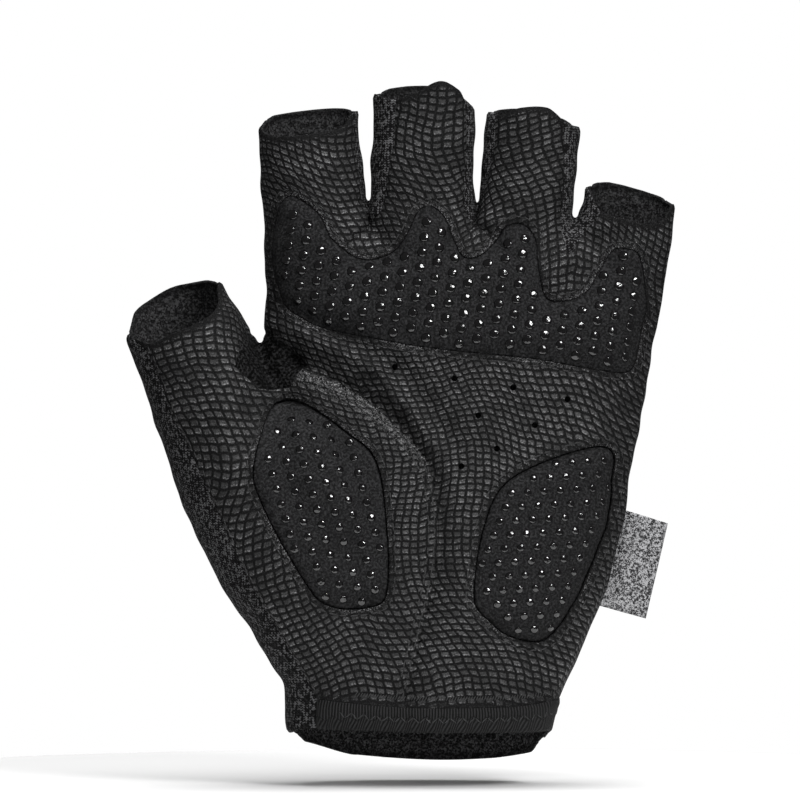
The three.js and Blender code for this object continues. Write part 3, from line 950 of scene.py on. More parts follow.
def form(cell_name):
    """The hand's skin, made once for each mesh size, with its depths in every region."""
    if cell_name in FORM:
        return FORM[cell_name]
    skin = hand_skin(getattr(sizes(), cell_name))
    points, normals = mesh_arrays(skin)
    edge = edge_depth(points)
    regions = {name: region_depth(name, points) for name in ORDER}
    grain = grain_places(points)
    rise = relief(points)
    height, width = SEAM_CHANNEL
    for name in ("thumb", "index_middle", "middle_ring", "ring_little", "gusset"):
        rise -= height * MM * bell(np.abs(regions[name]), width)
    height, width = EDGE_ROLL
    rise -= height * MM * (1 - soft_step(edge, 0, width * MM))
    thenar = region_seam(THENAR_LINE, points)
    on_thumb = regions["thumb"] > 0
    height, width = THENAR_VALLEY
    rise -= height * MM * bell(thenar, width) * (regions["thumb"] < 0)
    height, width = THENAR_RIDGE
    rise += height * MM * bell(thenar, width) * on_thumb
    for x, z, width, height in DENTS:
        away = np.hypot(points[:, 0] - x * PALM_WIDTH, points[:, 2] - z * PALM_HEIGHT)
        front = soft_step(-points[:, 1], -4 * MM, 2 * MM)
        rise += front * height * MM * bell(away, width)
    height, width = ROUGH_BAND
    low, high = ROUGH_HEIGHTS
    rough = height * bell(thenar, width) * soft_step(points[:, 2], low * MM, high * MM)
    rough *= np.where(on_thumb, 1, 0.3)
    patch = np.max([bell(regions[name], 1.3) for name in PADS], axis=0)
    patch *= 0.5 + 0.5 * np.sin(points[:, 0] / (5 * MM) + 2 * np.sin(points[:, 2] / (7 * MM)))
    # The rough band and a band round the pads, kept in the grain's second part: there the leather's
    # cells break up and take painted glints
    grain[:, 1] = np.maximum(0.55 * rough, 0.6 * patch) * MM
    # Hems along the edges, the pads and the tape: the leather loses its cells there and takes the dark
    # groove colour, and the lining is painted darker, as painted shade
    height, width = PAD_HEM_SHADE
    flat = height * np.max([bell(regions[name], width) for name in PADS], axis=0)
    height, width = TAPE_HEM_SHADE
    flat = np.maximum(flat, height * bell(regions["tape"], width))
    low, high = EDGE_HEM_SHADE
    hem = np.maximum(1 - soft_step(edge, low * MM, high * MM), flat)
    points = points + normals * rise[:, None]
    FORM[cell_name] = {
        "hem": hem, "skin": skin, "points": points, "normals": normals, "edge": edge,
        "regions": regions, "grain": grain,
    }
    return FORM[cell_name]


def piece_depth(made, name):
    """How far inside a piece each point of the skin lies, once its neighbours are taken off."""
    depth = made["edge"].copy()
    taken = ORDER if name == "back" else ORDER[: ORDER.index(name)]
    if name != "back":
        depth = np.minimum(depth, made["regions"][name] - half_gap(name))
    if name in PADS:
        taken = []
    for other in taken:
        depth = np.minimum(depth, -made["regions"][other] - half_gap(other))
    return depth


def half_gap(name):
    """Half of the gap round a piece; the tape laps over its neighbours instead."""
    if name == "tape":
        return -TAPE_LAP * MM
    if name == "knuckle":
        return KNUCKLE_GAP_SHARE * sizes().window_gap
    return (sizes().window_gap if name in PADS else sizes().gap) / 2


def cut_skin(made, depth, places_out=None):
    """The part of the skin with a depth above zero, cut exactly along the line of zero depth."""
    points = made["points"] if places_out is None else places_out
    snapped = np.where(np.abs(depth) < 0.04 * MM, 0.0, depth)
    whole = made["skin"].copy()
    whole.vertices.foreach_set("co", points.astype(np.float32).ravel())
    whole.attributes.new("depth", "FLOAT", "POINT").data.foreach_set(
        "value", snapped.astype(np.float32)
    )
    whole.attributes.new("grain", "FLOAT_VECTOR", "POINT").data.foreach_set(
        "vector", made["grain"].astype(np.float32).ravel()
    )
    whole.attributes.new("hem", "FLOAT", "POINT").data.foreach_set(
        "value", made["hem"].astype(np.float32)
    )
    bm = bmesh.new()
    bm.from_mesh(whole)
    bpy.data.meshes.remove(whole)
    layer = bm.verts.layers.float["depth"]
    far = [v for v, d in zip(bm.verts, snapped) if d < -3 * sizes().coarse]
    bmesh.ops.delete(bm, geom=far, context="VERTS")
    outside = [f for f in bm.faces if all(v[layer] < 0 for v in f.verts)]
    bmesh.ops.delete(bm, geom=outside, context="FACES")
    mixed = [f for f in bm.faces if any(v[layer] < 0 for v in f.verts)]
    bmesh.ops.triangulate(bm, faces=mixed)
    shares = {}
    for edge in bm.edges:
        a, b = edge.verts[0][layer], edge.verts[1][layer]
        if a * b < 0:
            shares[edge] = a / (a - b)
    cut = bmesh.ops.bisect_edges(bm, edges=list(shares), cuts=1, edge_percents=shares)
    new = [v for v in cut["geom_split"] if isinstance(v, bmesh.types.BMVert)]
    for vert in new:
        vert[layer] = 0
    border = [v for v in bm.verts if v[layer] == 0]
    bmesh.ops.connect_verts(bm, verts=border)
    outside = [f for f in bm.faces if any(v[layer] < 0 for v in f.verts)]
    bmesh.ops.delete(bm, geom=outside, context="FACES")
    keep_largest(bm)
    return bm


def keep_largest(bm):
    """Keeps only the largest connected patch of a mesh."""
    unseen = set(bm.verts)
    patches = []
    while unseen:
        start = unseen.pop()
        patch = [start]
        for vert in patch:
            for edge in vert.link_edges:
                other = edge.other_vert(vert)
                if other in unseen:
                    unseen.discard(other)
                    patch.append(other)
        patches.append(patch)
    patches.sort(key=len)
    crumbs = [v for patch in patches[:-1] for v in patch]
    bmesh.ops.delete(bm, geom=crumbs, context="VERTS")


def object_from(bm, name, material):
    """A finished piece from a bmesh, smooth shaded and linked to the scene."""
    mesh = bpy.data.meshes.new(name)
    bm.to_mesh(mesh)
    bm.free()
    mesh.shade_smooth()
    mesh.materials.append(material)
    obj = bpy.data.objects.new(name, mesh)
    bpy.context.scene.collection.objects.link(obj)
    return obj


def thicken(obj, thickness, inside="lining"):
    """Gives a cut skin its wall, inwards, with the lining on its inner side."""
    obj.data.materials.append(material(inside))
    wall = obj.modifiers.new("wall", "SOLIDIFY")
    wall.thickness = thickness
    wall.offset = -1
    wall.use_even_offset = False
    wall.use_rim = True
    wall.material_offset = 1
    wall.material_offset_rim = 1


def place(obj, slot, *nodes):
    """Rides a piece on the glove, and lets it stand for its solids."""
    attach(obj, "root")
    if nodes:
        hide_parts(*nodes)
    return obj


# Materials


class Nodes:
    """A material's nodes, added one after another."""

    def __init__(self, name):
        self.material = bpy.data.materials.new(name)
        self.material.use_nodes = True
        self.tree = self.material.node_tree
        self.shader = self.tree.nodes["Principled BSDF"]

    def add(self, kind, inputs=(), **settings):
        node = self.tree.nodes.new(kind)
        for key, value in settings.items():
            setattr(node, key, value)
        for key, value in dict(inputs).items():
            if isinstance(value, bpy.types.NodeSocket):
                self.tree.links.new(value, node.inputs[key])
            else:
                node.inputs[key].default_value = value
        return node

    def math(self, operation, a, b=0.0, clamp=False):
        node = self.add("ShaderNodeMath", {0: a, 1: b}, operation=operation, use_clamp=clamp)
        return node.outputs[0]

    def ramp(self, value, low, high, out_low=0.0, out_high=1.0, smooth=True):
        node = self.add(
            "ShaderNodeMapRange",
            {"Value": value, "From Min": low, "From Max": high, "To Min": out_low, "To Max": out_high},
            interpolation_type="SMOOTHSTEP" if smooth else "LINEAR",
        )
        return node.outputs[0]

    def blend(self, share, a, b):
        node = self.add("ShaderNodeMix", {0: share, 6: a, 7: b}, data_type="RGBA")
        return node.outputs[2]

    def noise(self, vector, scale, detail=2.0, rough=0.5):
        return self.add(
            "ShaderNodeTexNoise",
            {"Vector": vector, "Scale": scale, "Detail": detail, "Roughness": rough},
        )

    def object_mm(self):
        """Places on the piece in millimetres."""
        source = self.add("ShaderNodeTexCoord").outputs["Object"]
        node = self.add("ShaderNodeVectorMath", {0: source, 3: 1000.0}, operation="SCALE")
        return node.outputs[0]

    def grain_mm(self):
        """Places round the surface in millimetres, from the piece's own grain attribute."""
        source = self.add("ShaderNodeAttribute", attribute_name="grain").outputs["Vector"]
        node = self.add("ShaderNodeVectorMath", {0: source, 3: 1000.0}, operation="SCALE")
        return node.outputs[0]

    def parts(self, vector):
        node = self.add("ShaderNodeSeparateXYZ", {0: vector})
        return node.outputs

    def bump(self, height, strength, distance, normal=None):
        inputs = {"Height": height, "Strength": strength, "Distance": distance}
        if normal is not None:
            inputs["Normal"] = normal
        return self.add("ShaderNodeBump", inputs).outputs[0]

    def set(self, **values):
        for key, value in values.items():
            name = key.replace("_", " ")
            if isinstance(value, bpy.types.NodeSocket):
                self.tree.links.new(value, self.shader.inputs[name])
            else:
                self.shader.inputs[name].default_value = value


def swirled(n, vector, reach, size, seed):
    """Places pushed about by slow noises, so that rows of a pattern swirl but keep their pitch."""
    pushes = []
    for stretch in ((0.35, 1.0, 1.0), (1.0, 1.0, 0.35)):
        moved = n.add("ShaderNodeVectorMath", {0: vector, 1: stretch, 2: (seed, seed, -seed)},
                      operation="MULTIPLY_ADD").outputs[0]
        slow = n.noise(moved, 1 / size, 0.5).outputs["Fac"]
        pushes.append(n.math("MULTIPLY", n.math("SUBTRACT", slow, 0.5), reach))
    push = n.add("ShaderNodeCombineXYZ", {0: pushes[0], 2: pushes[1]}).outputs[0]
    return n.add("ShaderNodeVectorMath", {0: vector, 1: push}, operation="ADD").outputs[0]


def eyelets(n, vector, across, up, size):
    """Staggered rows of small holes: 0 in a hole, 1 between the holes."""
    x, _, z = n.parts(vector)
    row = n.math("DIVIDE", z, up)
    shift = n.math("MULTIPLY", n.math("FLOORED_MODULO", n.math("FLOOR", row), 2.0), 0.5)
    column = n.math("ADD", n.math("DIVIDE", x, across), shift)
    dx = n.math("MULTIPLY", n.math("SUBTRACT", n.math("FRACT", column), 0.5), across)
    dz = n.math("MULTIPLY", n.math("SUBTRACT", n.math("FRACT", row), 0.5), up)
    square = n.math("ADD", n.math("MULTIPLY", dx, dx), n.math("MULTIPLY", dz, dz))
    return n.ramp(n.math("SQRT", square), size * 0.35, size * 0.62)


def dimmed(rgba, share):
    return (rgba[0] * share, rgba[1] * share, rgba[2] * share, 1)


def leather_material():
    """Black leather embossed with rows of small raised cells that swirl over the hand."""
    n = Nodes("embossed_leather")
    grain = n.grain_mm()
    _, beside, _ = n.parts(grain)
    hem = n.add("ShaderNodeAttribute", attribute_name="hem").outputs["Fac"]
    swirl = swirled(n, grain, 32.0, 40.0, 11.0)
    swirl = swirled(n, swirl, n.math("ADD", n.math("MULTIPLY", beside, 3.2), 1.0), 2.2, 3.0)
    x, _, z = n.parts(swirl)
    column = n.math("DIVIDE", n.math("ADD", x, n.math("MULTIPLY", z, 0.25)), CELL_WIDTH)
    row = n.math("DIVIDE", z, CELL_HEIGHT)
    across = n.math("MULTIPLY", n.math("PINGPONG", column, 0.5), 2.0)
    up = n.math("MULTIPLY", n.math("PINGPONG", row, 0.5), 2.0)
    cell = n.math("MULTIPLY", n.ramp(across, 0.1, 0.46), n.ramp(up, 0.14, 0.66))
    tilt = n.math("FRACT", row)
    lip = n.math("MULTIPLY", cell, n.math("SUBTRACT", 1.0, n.ramp(tilt, 0.22, 0.5)))
    numbers = n.add("ShaderNodeCombineXYZ", {
        0: n.math("FLOOR", column), 1: n.math("FLOOR", row)}).outputs[0]
    chance = n.add("ShaderNodeTexWhiteNoise", {"Vector": numbers},
                   noise_dimensions="3D").outputs["Value"]
    patch = n.noise(grain, 1 / 11.0, 2.0).outputs["Fac"]
    speck = n.noise(grain, 2.2, 3.0, 0.7).outputs["Fac"]
    # Painted shade: along the hems the cells fade away into the dark groove colour
    cell = n.math("MULTIPLY", cell, n.math("SUBTRACT", 1.0, hem))
    bright = n.math("MULTIPLY", cell, n.ramp(chance, 0.0, 1.0, 0.25, 1.05))
    bright = n.math("MULTIPLY", bright, n.ramp(patch, 0.3, 0.7, 0.4, 1.1))
    fine = n.noise(grain, 3.4, 2.0, 0.7).outputs["Fac"]
    bright = n.math("MULTIPLY", bright, n.ramp(fine, 0.4, 0.62, 0.45, 1.35))
    # The bright specks added on top of the cells are painted glints
    bright = n.math("ADD", n.math("MULTIPLY", bright, n.ramp(speck, 0.42, 0.6, 0.2, 1.75)),
                    n.ramp(fine, 0.52, 0.66, 0.0, 0.35), clamp=True)
    # Painted highlight: the lower edge of each cell, and bright specks in the rough band beside the
    # seams and pads, take the light glint colour
    painted_glint = n.math("MULTIPLY", n.math("MULTIPLY", lip, bright), n.ramp(speck, 0.44, 0.58))
    fleck = n.math("MULTIPLY", n.ramp(beside, 0.1, 0.9), n.ramp(fine, 0.52, 0.66))
    base = n.blend(bright, colour("groove"), colour("leather"))
    base = n.blend(n.math("MAXIMUM", painted_glint, fleck), base, colour("painted_glint"))
    height = n.math("ADD", cell, n.math("MULTIPLY", speck, 0.5))
    height = n.math("SUBTRACT", height, n.math("MULTIPLY", n.math("MULTIPLY", cell, tilt), 0.45))
    n.set(
        Base_Color=base,
        Roughness=n.ramp(bright, 0.0, 1.0, 0.7, 0.42),
        Normal=n.bump(height, 1.0, 0.0003),
        Specular_IOR_Level=n.ramp(cell, 0.0, 1.0, 0.06, 0.42),
    )
    return n.material


def knit_material():
    """Fine black knit with a mottled yarn, and eyelets towards the wrist."""
    n = Nodes("knit")
    grain = n.grain_mm()
    x, _, z = n.parts(swirled(n, grain, 0.4, 2.0, 5.0))
    rib = n.math("SINE", n.math("MULTIPLY", x, 2 * math.pi / 0.8))
    loop = n.math("SINE", n.math("ADD", n.math("MULTIPLY", z, 2 * math.pi / 0.62),
                                 n.math("MULTIPLY", rib, 1.3)))
    fuzz = n.noise(n.object_mm(), 1.15, 2.0, 0.6).outputs["Fac"]
    low = n.math("SUBTRACT", 1.0, n.ramp(n.parts(grain)[2], 30.0, 42.0))
    hole = n.math("SUBTRACT", 1.0, eyelets(n, grain, 4.0, 3.4, 1.9))
    open_knit = n.math("SUBTRACT", 1.0, n.math("MULTIPLY", n.math("MULTIPLY", hole, low), 0.85))
    weave = n.math("ADD", n.math("MULTIPLY", rib, 0.05), n.math("MULTIPLY", loop, 0.07))
    shade = n.ramp(n.math("ADD", fuzz, weave), 0.47, 0.66)
    height = n.math("ADD", n.math("ADD", fuzz, n.math("MULTIPLY", weave, 2.0)), open_knit)
    dark = colour("knit")
    n.set(
        Base_Color=n.blend(n.math("MULTIPLY", shade, open_knit), dimmed(dark, 0.05), dark),
        Roughness=0.95,
        Normal=n.bump(height, 0.7, 0.0003),
        Specular_IOR_Level=0.1,
    )
    return n.material


def lining_material():
    """Plain dark knit with eyelets, for the inner side of every piece."""
    n = Nodes("lining")
    grain = n.grain_mm()
    fuzz = n.noise(n.object_mm(), 1.9, 3.0, 0.7).outputs["Fac"]
    hole = eyelets(n, grain, 2.9, 2.3, 1.3)
    hem = n.add("ShaderNodeAttribute", attribute_name="hem").outputs["Fac"]
    # Painted light: the lining is painted about three times lighter at the wrist than higher up,
    # lifting the shade inside the wrist opening
    low = n.ramp(n.parts(grain)[2], -2.0, 30.0, 1.0, 0.34)
    shade = n.math("MULTIPLY", n.ramp(fuzz, 0.42, 0.64), n.ramp(hole, 0.0, 1.0, 0.4, 1.0))
    # Painted shade: the lining is painted darker along the hems at the edges
    shade = n.math("MULTIPLY", shade, n.ramp(hem, 0.0, 1.0, 1.0, 0.5))
    shade = n.math("MULTIPLY", shade, low)
    dark = colour("knit")
    n.set(
        Base_Color=n.blend(shade, dimmed(dark, 0.05), dimmed(dark, 1.3)),
        Roughness=0.95,
        Normal=n.bump(n.math("ADD", fuzz, hole), 0.6, 0.00025),
        Specular_IOR_Level=0.1,
    )
    return n.material


def mesh_material():
    """Open eyelet mesh: rows of small dark holes in a black knit."""
    n = Nodes("mesh")
    grain = n.grain_mm()
    hole = eyelets(n, grain, 1.1, 0.85, 0.6)
    fuzz = n.noise(n.object_mm(), 1.3, 3.0, 0.7).outputs["Fac"]
    shade = n.math("MULTIPLY", n.ramp(hole, 0.0, 1.0, 0.3, 1.0), n.ramp(fuzz, 0.42, 0.62))
    # Painted shade: the whole mesh is kept far darker than the knit, for the shaded hollow of the
    # thumb crotch where it sits
    dark = colour("knit")
    n.set(
        Base_Color=n.blend(shade, (0.001, 0.001, 0.001, 1), dimmed(dark, 0.22)),
        Roughness=0.95,
        Normal=n.bump(n.math("ADD", hole, fuzz), 0.8, 0.0003),
        Specular_IOR_Level=0.08,
    )
    return n.material


def pad_material():
    """Suede-like pad cover, matte, with a short mottled nap."""
    n = Nodes("grip_pad")
    grain = n.grain_mm()
    nap = n.noise(grain, 1.7, 4.0, 0.7).outputs["Fac"]
    cloud = n.noise(grain, 0.3, 2.0).outputs["Fac"]
    shade = n.math("MULTIPLY", n.ramp(nap, 0.42, 0.64), n.ramp(cloud, 0.3, 0.7, 0.7, 1.0))
    dark = colour("pad")
    n.set(
        Base_Color=n.blend(shade, dimmed(dark, 0.2), dark),
        Roughness=0.9,
        Normal=n.bump(nap, 0.8, 0.0003),
        Specular_IOR_Level=0.12,
    )
    return n.material


def silicone_material():
    """Glossy black silicone of the grip dots."""
    n = Nodes("silicone")
    fine = n.noise(n.object_mm(), 0.7, 2.0).outputs["Fac"]
    n.set(
        Base_Color=(0.0015, 0.0015, 0.0016, 1),
        Roughness=n.ramp(fine, 0.3, 0.7, 0.1, 0.2),
        Normal=n.bump(fine, 0.6, 0.0006),
        Specular_IOR_Level=1.0,
    )
    return n.material


def tape_material():
    """Ribbed tape: upright ribs above a zigzag line, slanted ribs below it."""
    n = Nodes("ribbed_tape")
    grain = n.grain_mm()
    x, _, z = n.parts(grain)
    zigzag = n.math("MULTIPLY", n.math("PINGPONG", n.math("DIVIDE", x, 1.9), 1.0), 1.3)
    below = n.math("SUBTRACT", n.math("ADD", zigzag, 6.9), z)
    lower = n.ramp(below, -0.12, 0.12)
    lean = n.math("SUBTRACT", x, n.math("MULTIPLY", n.math("MULTIPLY", below, lower), -0.42))
    wobble = n.noise(grain, 0.35, 2.0).outputs["Fac"]
    rib = n.math("SINE", n.math("MULTIPLY", n.math("ADD", lean, n.math("MULTIPLY", wobble, 0.4)),
                                2 * math.pi / 0.72))
    sunk = n.ramp(n.math("ABSOLUTE", below), 0.0, 0.3)
    fuzz = n.noise(grain, 2.6, 3.0, 0.7).outputs["Fac"]
    height = n.math("ADD", n.math("MULTIPLY", rib, 0.45), fuzz)
    shade = n.math("MULTIPLY", n.ramp(height, 0.1, 1.05), n.ramp(sunk, 0.0, 1.0, 0.45, 1.0))
    n.set(
        Base_Color=n.blend(shade, (0.0015, 0.0015, 0.0015, 1), (0.021, 0.021, 0.0215, 1)),
        Roughness=0.8,
        Normal=n.bump(n.math("ADD", height, sunk), 0.8, 0.0003),
        Specular_IOR_Level=0.2,
    )
    return n.material


def tag_material():
    """Melange label cloth: pale and black yarn mixed in short flecks."""
    n = Nodes("label_cloth")
    place_mm = n.object_mm()
    fleck = n.noise(place_mm, 1.25, 3.0, 0.8).outputs["Fac"]
    fine = n.noise(place_mm, 3.3, 2.0, 0.7).outputs["Fac"]
    mix = n.math("ADD", fleck, n.math("MULTIPLY", n.math("SUBTRACT", fine, 0.5), 0.7))
    n.set(
        Base_Color=n.blend(n.ramp(mix, 0.44, 0.6), (0.02, 0.02, 0.021, 1), colour("tag")),
        Roughness=0.85,
        Normal=n.bump(n.math("ADD", fleck, fine), 0.6, 0.0003),
        Specular_IOR_Level=0.25,
    )
    return n.material


def thread_material():
    """Black sewing thread with a faint twist."""
    n = Nodes("thread")
    x, y, z = n.parts(n.object_mm())
    twist = n.math("SINE", n.math("MULTIPLY", n.math("ADD", n.math("ADD", x, y), z), 14.0))
    n.set(
        Base_Color=n.blend(n.ramp(twist, -1.0, 1.0), (0.005, 0.005, 0.005, 1), colour("thread")),
        Roughness=0.5,
        Normal=n.bump(twist, 0.4, 0.00008),
        Specular_IOR_Level=0.4,
    )
    return n.material


MAKERS = {
    "leather": leather_material,
    "knit": knit_material,
    "lining": lining_material,
    "mesh": mesh_material,
    "pad": pad_material,
    "silicone": silicone_material,
    "tape": tape_material,
    "tag": tag_material,
    "thread": thread_material,
}
MADE = {}


def material(name):
    if name not in MADE:
        MADE[name] = MAKERS[name]()
    return MADE[name]


# Small pieces on the surface


def surface_of(*objects):
    """A tree of the outer faces of finished pieces, to lay small pieces on."""
    bm = bmesh.new()
    for obj in objects:
        mesh = evaluated_mesh(obj)
        bm.from_mesh(mesh)
        bpy.data.meshes.remove(mesh)
    tree = BVHTree.FromBMesh(bm)
    bm.free()
    return tree


def on_palm(tree, x, z):
    """The point and the normal of the surface in front of a place seen from the palm."""
    point, normal, _, _ = tree.ray_cast(Vector((x, -0.2, z)), Vector((0, 1, 0)))
    if point is None:
        return None, None
    if normal.y > 0:
        normal = -normal
    return point, normal


def offset_line(line, distance, closed):
    """A line moved sideways by a distance, to the left of its direction."""
    if closed:
        ahead = np.roll(line, -1, axis=0)
        behind = np.roll(line, 1, axis=0)
    else:
        ahead = np.concatenate([line[1:], line[-1:]])
        behind = np.concatenate([line[:1], line[:-1]])
    way = ahead - behind
    way = way / np.maximum(np.linalg.norm(way, axis=1), 1e-12)[:, None]
    return line + distance * np.stack([-way[:, 1], way[:, 0]], axis=1)


def spaced(line, closed, step):
    """Places and directions at even steps along a line."""
    points = np.concatenate([line, line[:1]]) if closed else line
    lengths = np.concatenate([[0], np.cumsum(np.linalg.norm(np.diff(points, axis=0), axis=1))])
    count = max(int(lengths[-1] / step), 1)
    at = (np.arange(count) + 0.5) * lengths[-1] / count

    def on_line(length):
        return np.stack([np.interp(length, lengths, points[:, i]) for i in (0, 1)], axis=1)

    return on_line(at), on_line(at + step / 4) - on_line(at)


def add_stitches(bm, tree, line, closed, pitch, length, width, turn=0.0, swing=0.0):
    """A row of stitches laid on the surface along a line."""
    at, way = spaced(line, closed, pitch)
    for i, ((x, z), (dx, dz)) in enumerate(zip(at, way)):
        point, normal = on_palm(tree, x, z)
        if point is None:
            continue
        along = Vector((dx, 0, dz))
        along = (along - normal * along.dot(normal)).normalized()
        side = normal.cross(along)
        angle = turn + (swing if i % 2 else -swing)
        along = (along * math.cos(angle) + side * math.sin(angle)).normalized()
        side = normal.cross(along)
        axes = Matrix((along, side, normal)).transposed().to_4x4()
        size = Matrix.Diagonal((length / 2, width / 2, width * 0.42, 1))
        spot = Matrix.Translation(point + normal * width * 0.08)
        bmesh.ops.create_uvsphere(
            bm, u_segments=8, v_segments=6, radius=1, matrix=spot @ axes @ size
        )


def inset_rows(name, distance):
    """A closed line outside an outline by a distance, or inside it when it is negative."""
    line = OUTLINES[name]
    area = np.sum(line[:, 0] * np.roll(line[:, 1], -1) - np.roll(line[:, 0], -1) * line[:, 1])
    return offset_line(line, -distance if area > 0 else distance, True)


# Operators


class GLOVE_OT_leather(bpy.types.Operator):
    """Builds the embossed leather of the palm and of the thumb"""

    bl_idname = "glove.leather"
    bl_label = "Leather panels"

    def execute(self, context):
        made = form("fine")
        flat = made["points"][:, [0, 2]]
        for name, piece in (("palm", "palm_panel"), ("thumb", "thumb_panel")):
            depth = piece_depth(made, name)
            if name == "palm":
                front = made["points"][:, 1] < 0
                for x, z in places(AIR_HOLES):
                    away = np.hypot(flat[:, 0] - x, flat[:, 1] - z) - sizes().hole / 2
                    depth = np.where(front, np.minimum(depth, away), depth)
            bm = cut_skin(made, depth)
            obj = object_from(bm, piece + "_leather", material("leather"))
            thicken(obj, sizes().wall)
            place(obj, "embossed_leather", piece)
        return {"FINISHED"}


class GLOVE_OT_back(bpy.types.Operator):
    """Builds the knit back of the hand with the strip on the thumb side"""

    bl_idname = "glove.back"
    bl_label = "Knit back"

    def execute(self, context):
        made = form("coarse")
        bm = cut_skin(made, piece_depth(made, "back"))
        obj = object_from(bm, "back_panel_knit", material("knit"))
        thicken(obj, sizes().wall)
        place(obj, "knit", "back_panel")
        return {"FINISHED"}


class GLOVE_OT_pads(bpy.types.Operator):
    """Builds the three padded pads that show through the windows in the leather"""

    bl_idname = "glove.pads"
    bl_label = "Pads"

    def execute(self, context):
        made = form("fine")
        rise = sizes().pad_rise
        for name, piece, full, sink in PAD_CROWNS:
            inside = made["regions"][name]
            crown = soft_step(inside, -1.0 * MM, full * MM) * rise
            sunk = sink * MM * (1 - soft_step(inside, 0, 1.6 * MM))
            places_out = made["points"] + made["normals"] * (crown - sunk)[:, None]
            bm = cut_skin(made, piece_depth(made, name), places_out)
            obj = object_from(bm, piece + "_cover", material("pad"))
            thicken(obj, 2.2 * MM)
            place(obj, "grip_pad", piece)
        return {"FINISHED"}


class GLOVE_OT_fourchettes(bpy.types.Operator):
    """Builds the knit strips between the fingers"""

    bl_idname = "glove.fourchettes"
    bl_label = "Finger strips"

    def execute(self, context):
        made = form("fine")
        for name in ("index_middle", "middle_ring", "ring_little"):
            bm = cut_skin(made, piece_depth(made, name))
            obj = object_from(bm, name + "_strip", material("knit"))
            thicken(obj, sizes().wall)
            place(obj, "knit", name + "_fourchette")
        return {"FINISHED"}


class GLOVE_OT_gusset(bpy.types.Operator):
    """Builds the open mesh patch in the thumb crotch"""

    bl_idname = "glove.gusset"
    bl_label = "Thumb gusset"

    def execute(self, context):
        made = form("fine")
        bm = cut_skin(made, piece_depth(made, "gusset"))
        obj = object_from(bm, "thumb_gusset_mesh", material("mesh"))
        thicken(obj, sizes().wall)
        place(obj, "mesh", "thumb_gusset")
        return {"FINISHED"}


class GLOVE_OT_tape(bpy.types.Operator):
    """Builds the ribbed tape along the palm side of the wrist edge"""

    bl_idname = "glove.tape"
    bl_label = "Wrist tape"

    def execute(self, context):
        made = form("fine")
        depth = piece_depth(made, "tape")
        swell = TAPE_LAP * MM + soft_step(depth, -0.2 * MM, 1.2 * MM) * sizes().tape_rise
        places_out = made["points"] + made["normals"] * swell[:, None]
        bm = cut_skin(made, depth, places_out)
        obj = object_from(bm, "wrist_tape_ribs", material("tape"))
        thicken(obj, sizes().wall + sizes().tape_rise)
        place(obj, "ribbed_tape", "wrist_tape")
        return {"FINISHED"}


class GLOVE_OT_tag(bpy.types.Operator):
    """Builds the small folded label in the outer side seam"""

    bl_idname = "glove.tag"
    bl_label = "Side label"

    def execute(self, context):
        top_in, top_out, low_out, low_in = (Vector((p[0], 0, p[1])) for p in places(SIDE_TAG))
        bm = bmesh.new()
        grid = bmesh.ops.create_grid(bm, x_segments=60, y_segments=28, size=1)
        layer = 0.42 * MM
        for vert in grid["verts"]:
            s, t = vert.co.x, (vert.co.y + 1) / 2
            share = 1 - abs(s)
            wrap = math.copysign(1, s) * math.sqrt(max(0.0, 1 - max(0.0, 1 - abs(s) * 9) ** 2))
            inner = low_in.lerp(top_in, t)
            outer = low_out.lerp(top_out, t)
            spot = inner.lerp(outer, 1 - abs(s))
            wave = 0.35 * MM * math.sin(5.0 * t + 1.0) * share
            wave += 0.25 * MM * math.sin(9.0 * share + 3 * t)
            vert.co = spot + Vector((0, wrap * layer + wave, 0))
        bmesh.ops.recalc_face_normals(bm, faces=bm.faces)
        obj = object_from(bm, "side_tag_cloth", material("tag"))
        wall = obj.modifiers.new("wall", "SOLIDIFY")
        wall.thickness = 0.35 * MM
        wall.offset = 0
        place(obj, "label_cloth", "side_tag")
        return {"FINISHED"}


class GLOVE_OT_dots(bpy.types.Operator):
    """Builds the grip dots on the pads"""

    bl_idname = "glove.dots"
    bl_label = "Grip dots"

    # Rows of dots: pad, cover, share of the dot's width, start x and z, then the first step's and
    # the second step's x and z, all in millimetres.
    LATTICES = [
        ("knuckle", "knuckle_pad_cover", 1.0, (-33.0, 121.0), (4.35, 1.18), (-0.55, -3.75)),
        ("thumb_heel", "thumb_heel_pad_cover", 0.84, (-37.2, 71.8), (4.42, -0.68), (1.08, -3.7)),
        ("outer_heel", "outer_heel_pad_cover", 0.78, (28.2, 67.0), (4.05, 0.22), (-1.45, -3.48)),
    ]

    def execute(self, context):
        for name, cover, share, start, first, second in self.LATTICES:
            radius = sizes().dot / 2 * share
            tree = surface_of(bpy.data.objects[cover])
            bm = bmesh.new()
            steps = [(i, j) for i in range(-30, 31) for j in range(-30, 31)]
            spots = np.array(
                [
                    (
                        (start[0] + i * first[0] + j * second[0]) * MM,
                        (start[1] + i * first[1] + j * second[1]) * MM,
                    )
                    for i, j in steps
                ]
            )
            inside = depth_inside(OUTLINES[name], spots) > radius + 0.25 * MM
            for x, z in spots[inside]:
                point, normal = on_palm(tree, x, z)
                if point is None:
                    continue
                turn = normal.to_track_quat("Z", "Y").to_matrix().to_4x4()
                size = Matrix.Diagonal((radius, radius, radius * 0.42, 1))
                bmesh.ops.create_uvsphere(
                    bm, u_segments=16, v_segments=10, radius=1,
                    matrix=Matrix.Translation(point) @ turn @ size,
                )
            obj = object_from(bm, name + "_grip_dots", material("silicone"))
            place(obj, "grip_pad")
        return {"FINISHED"}


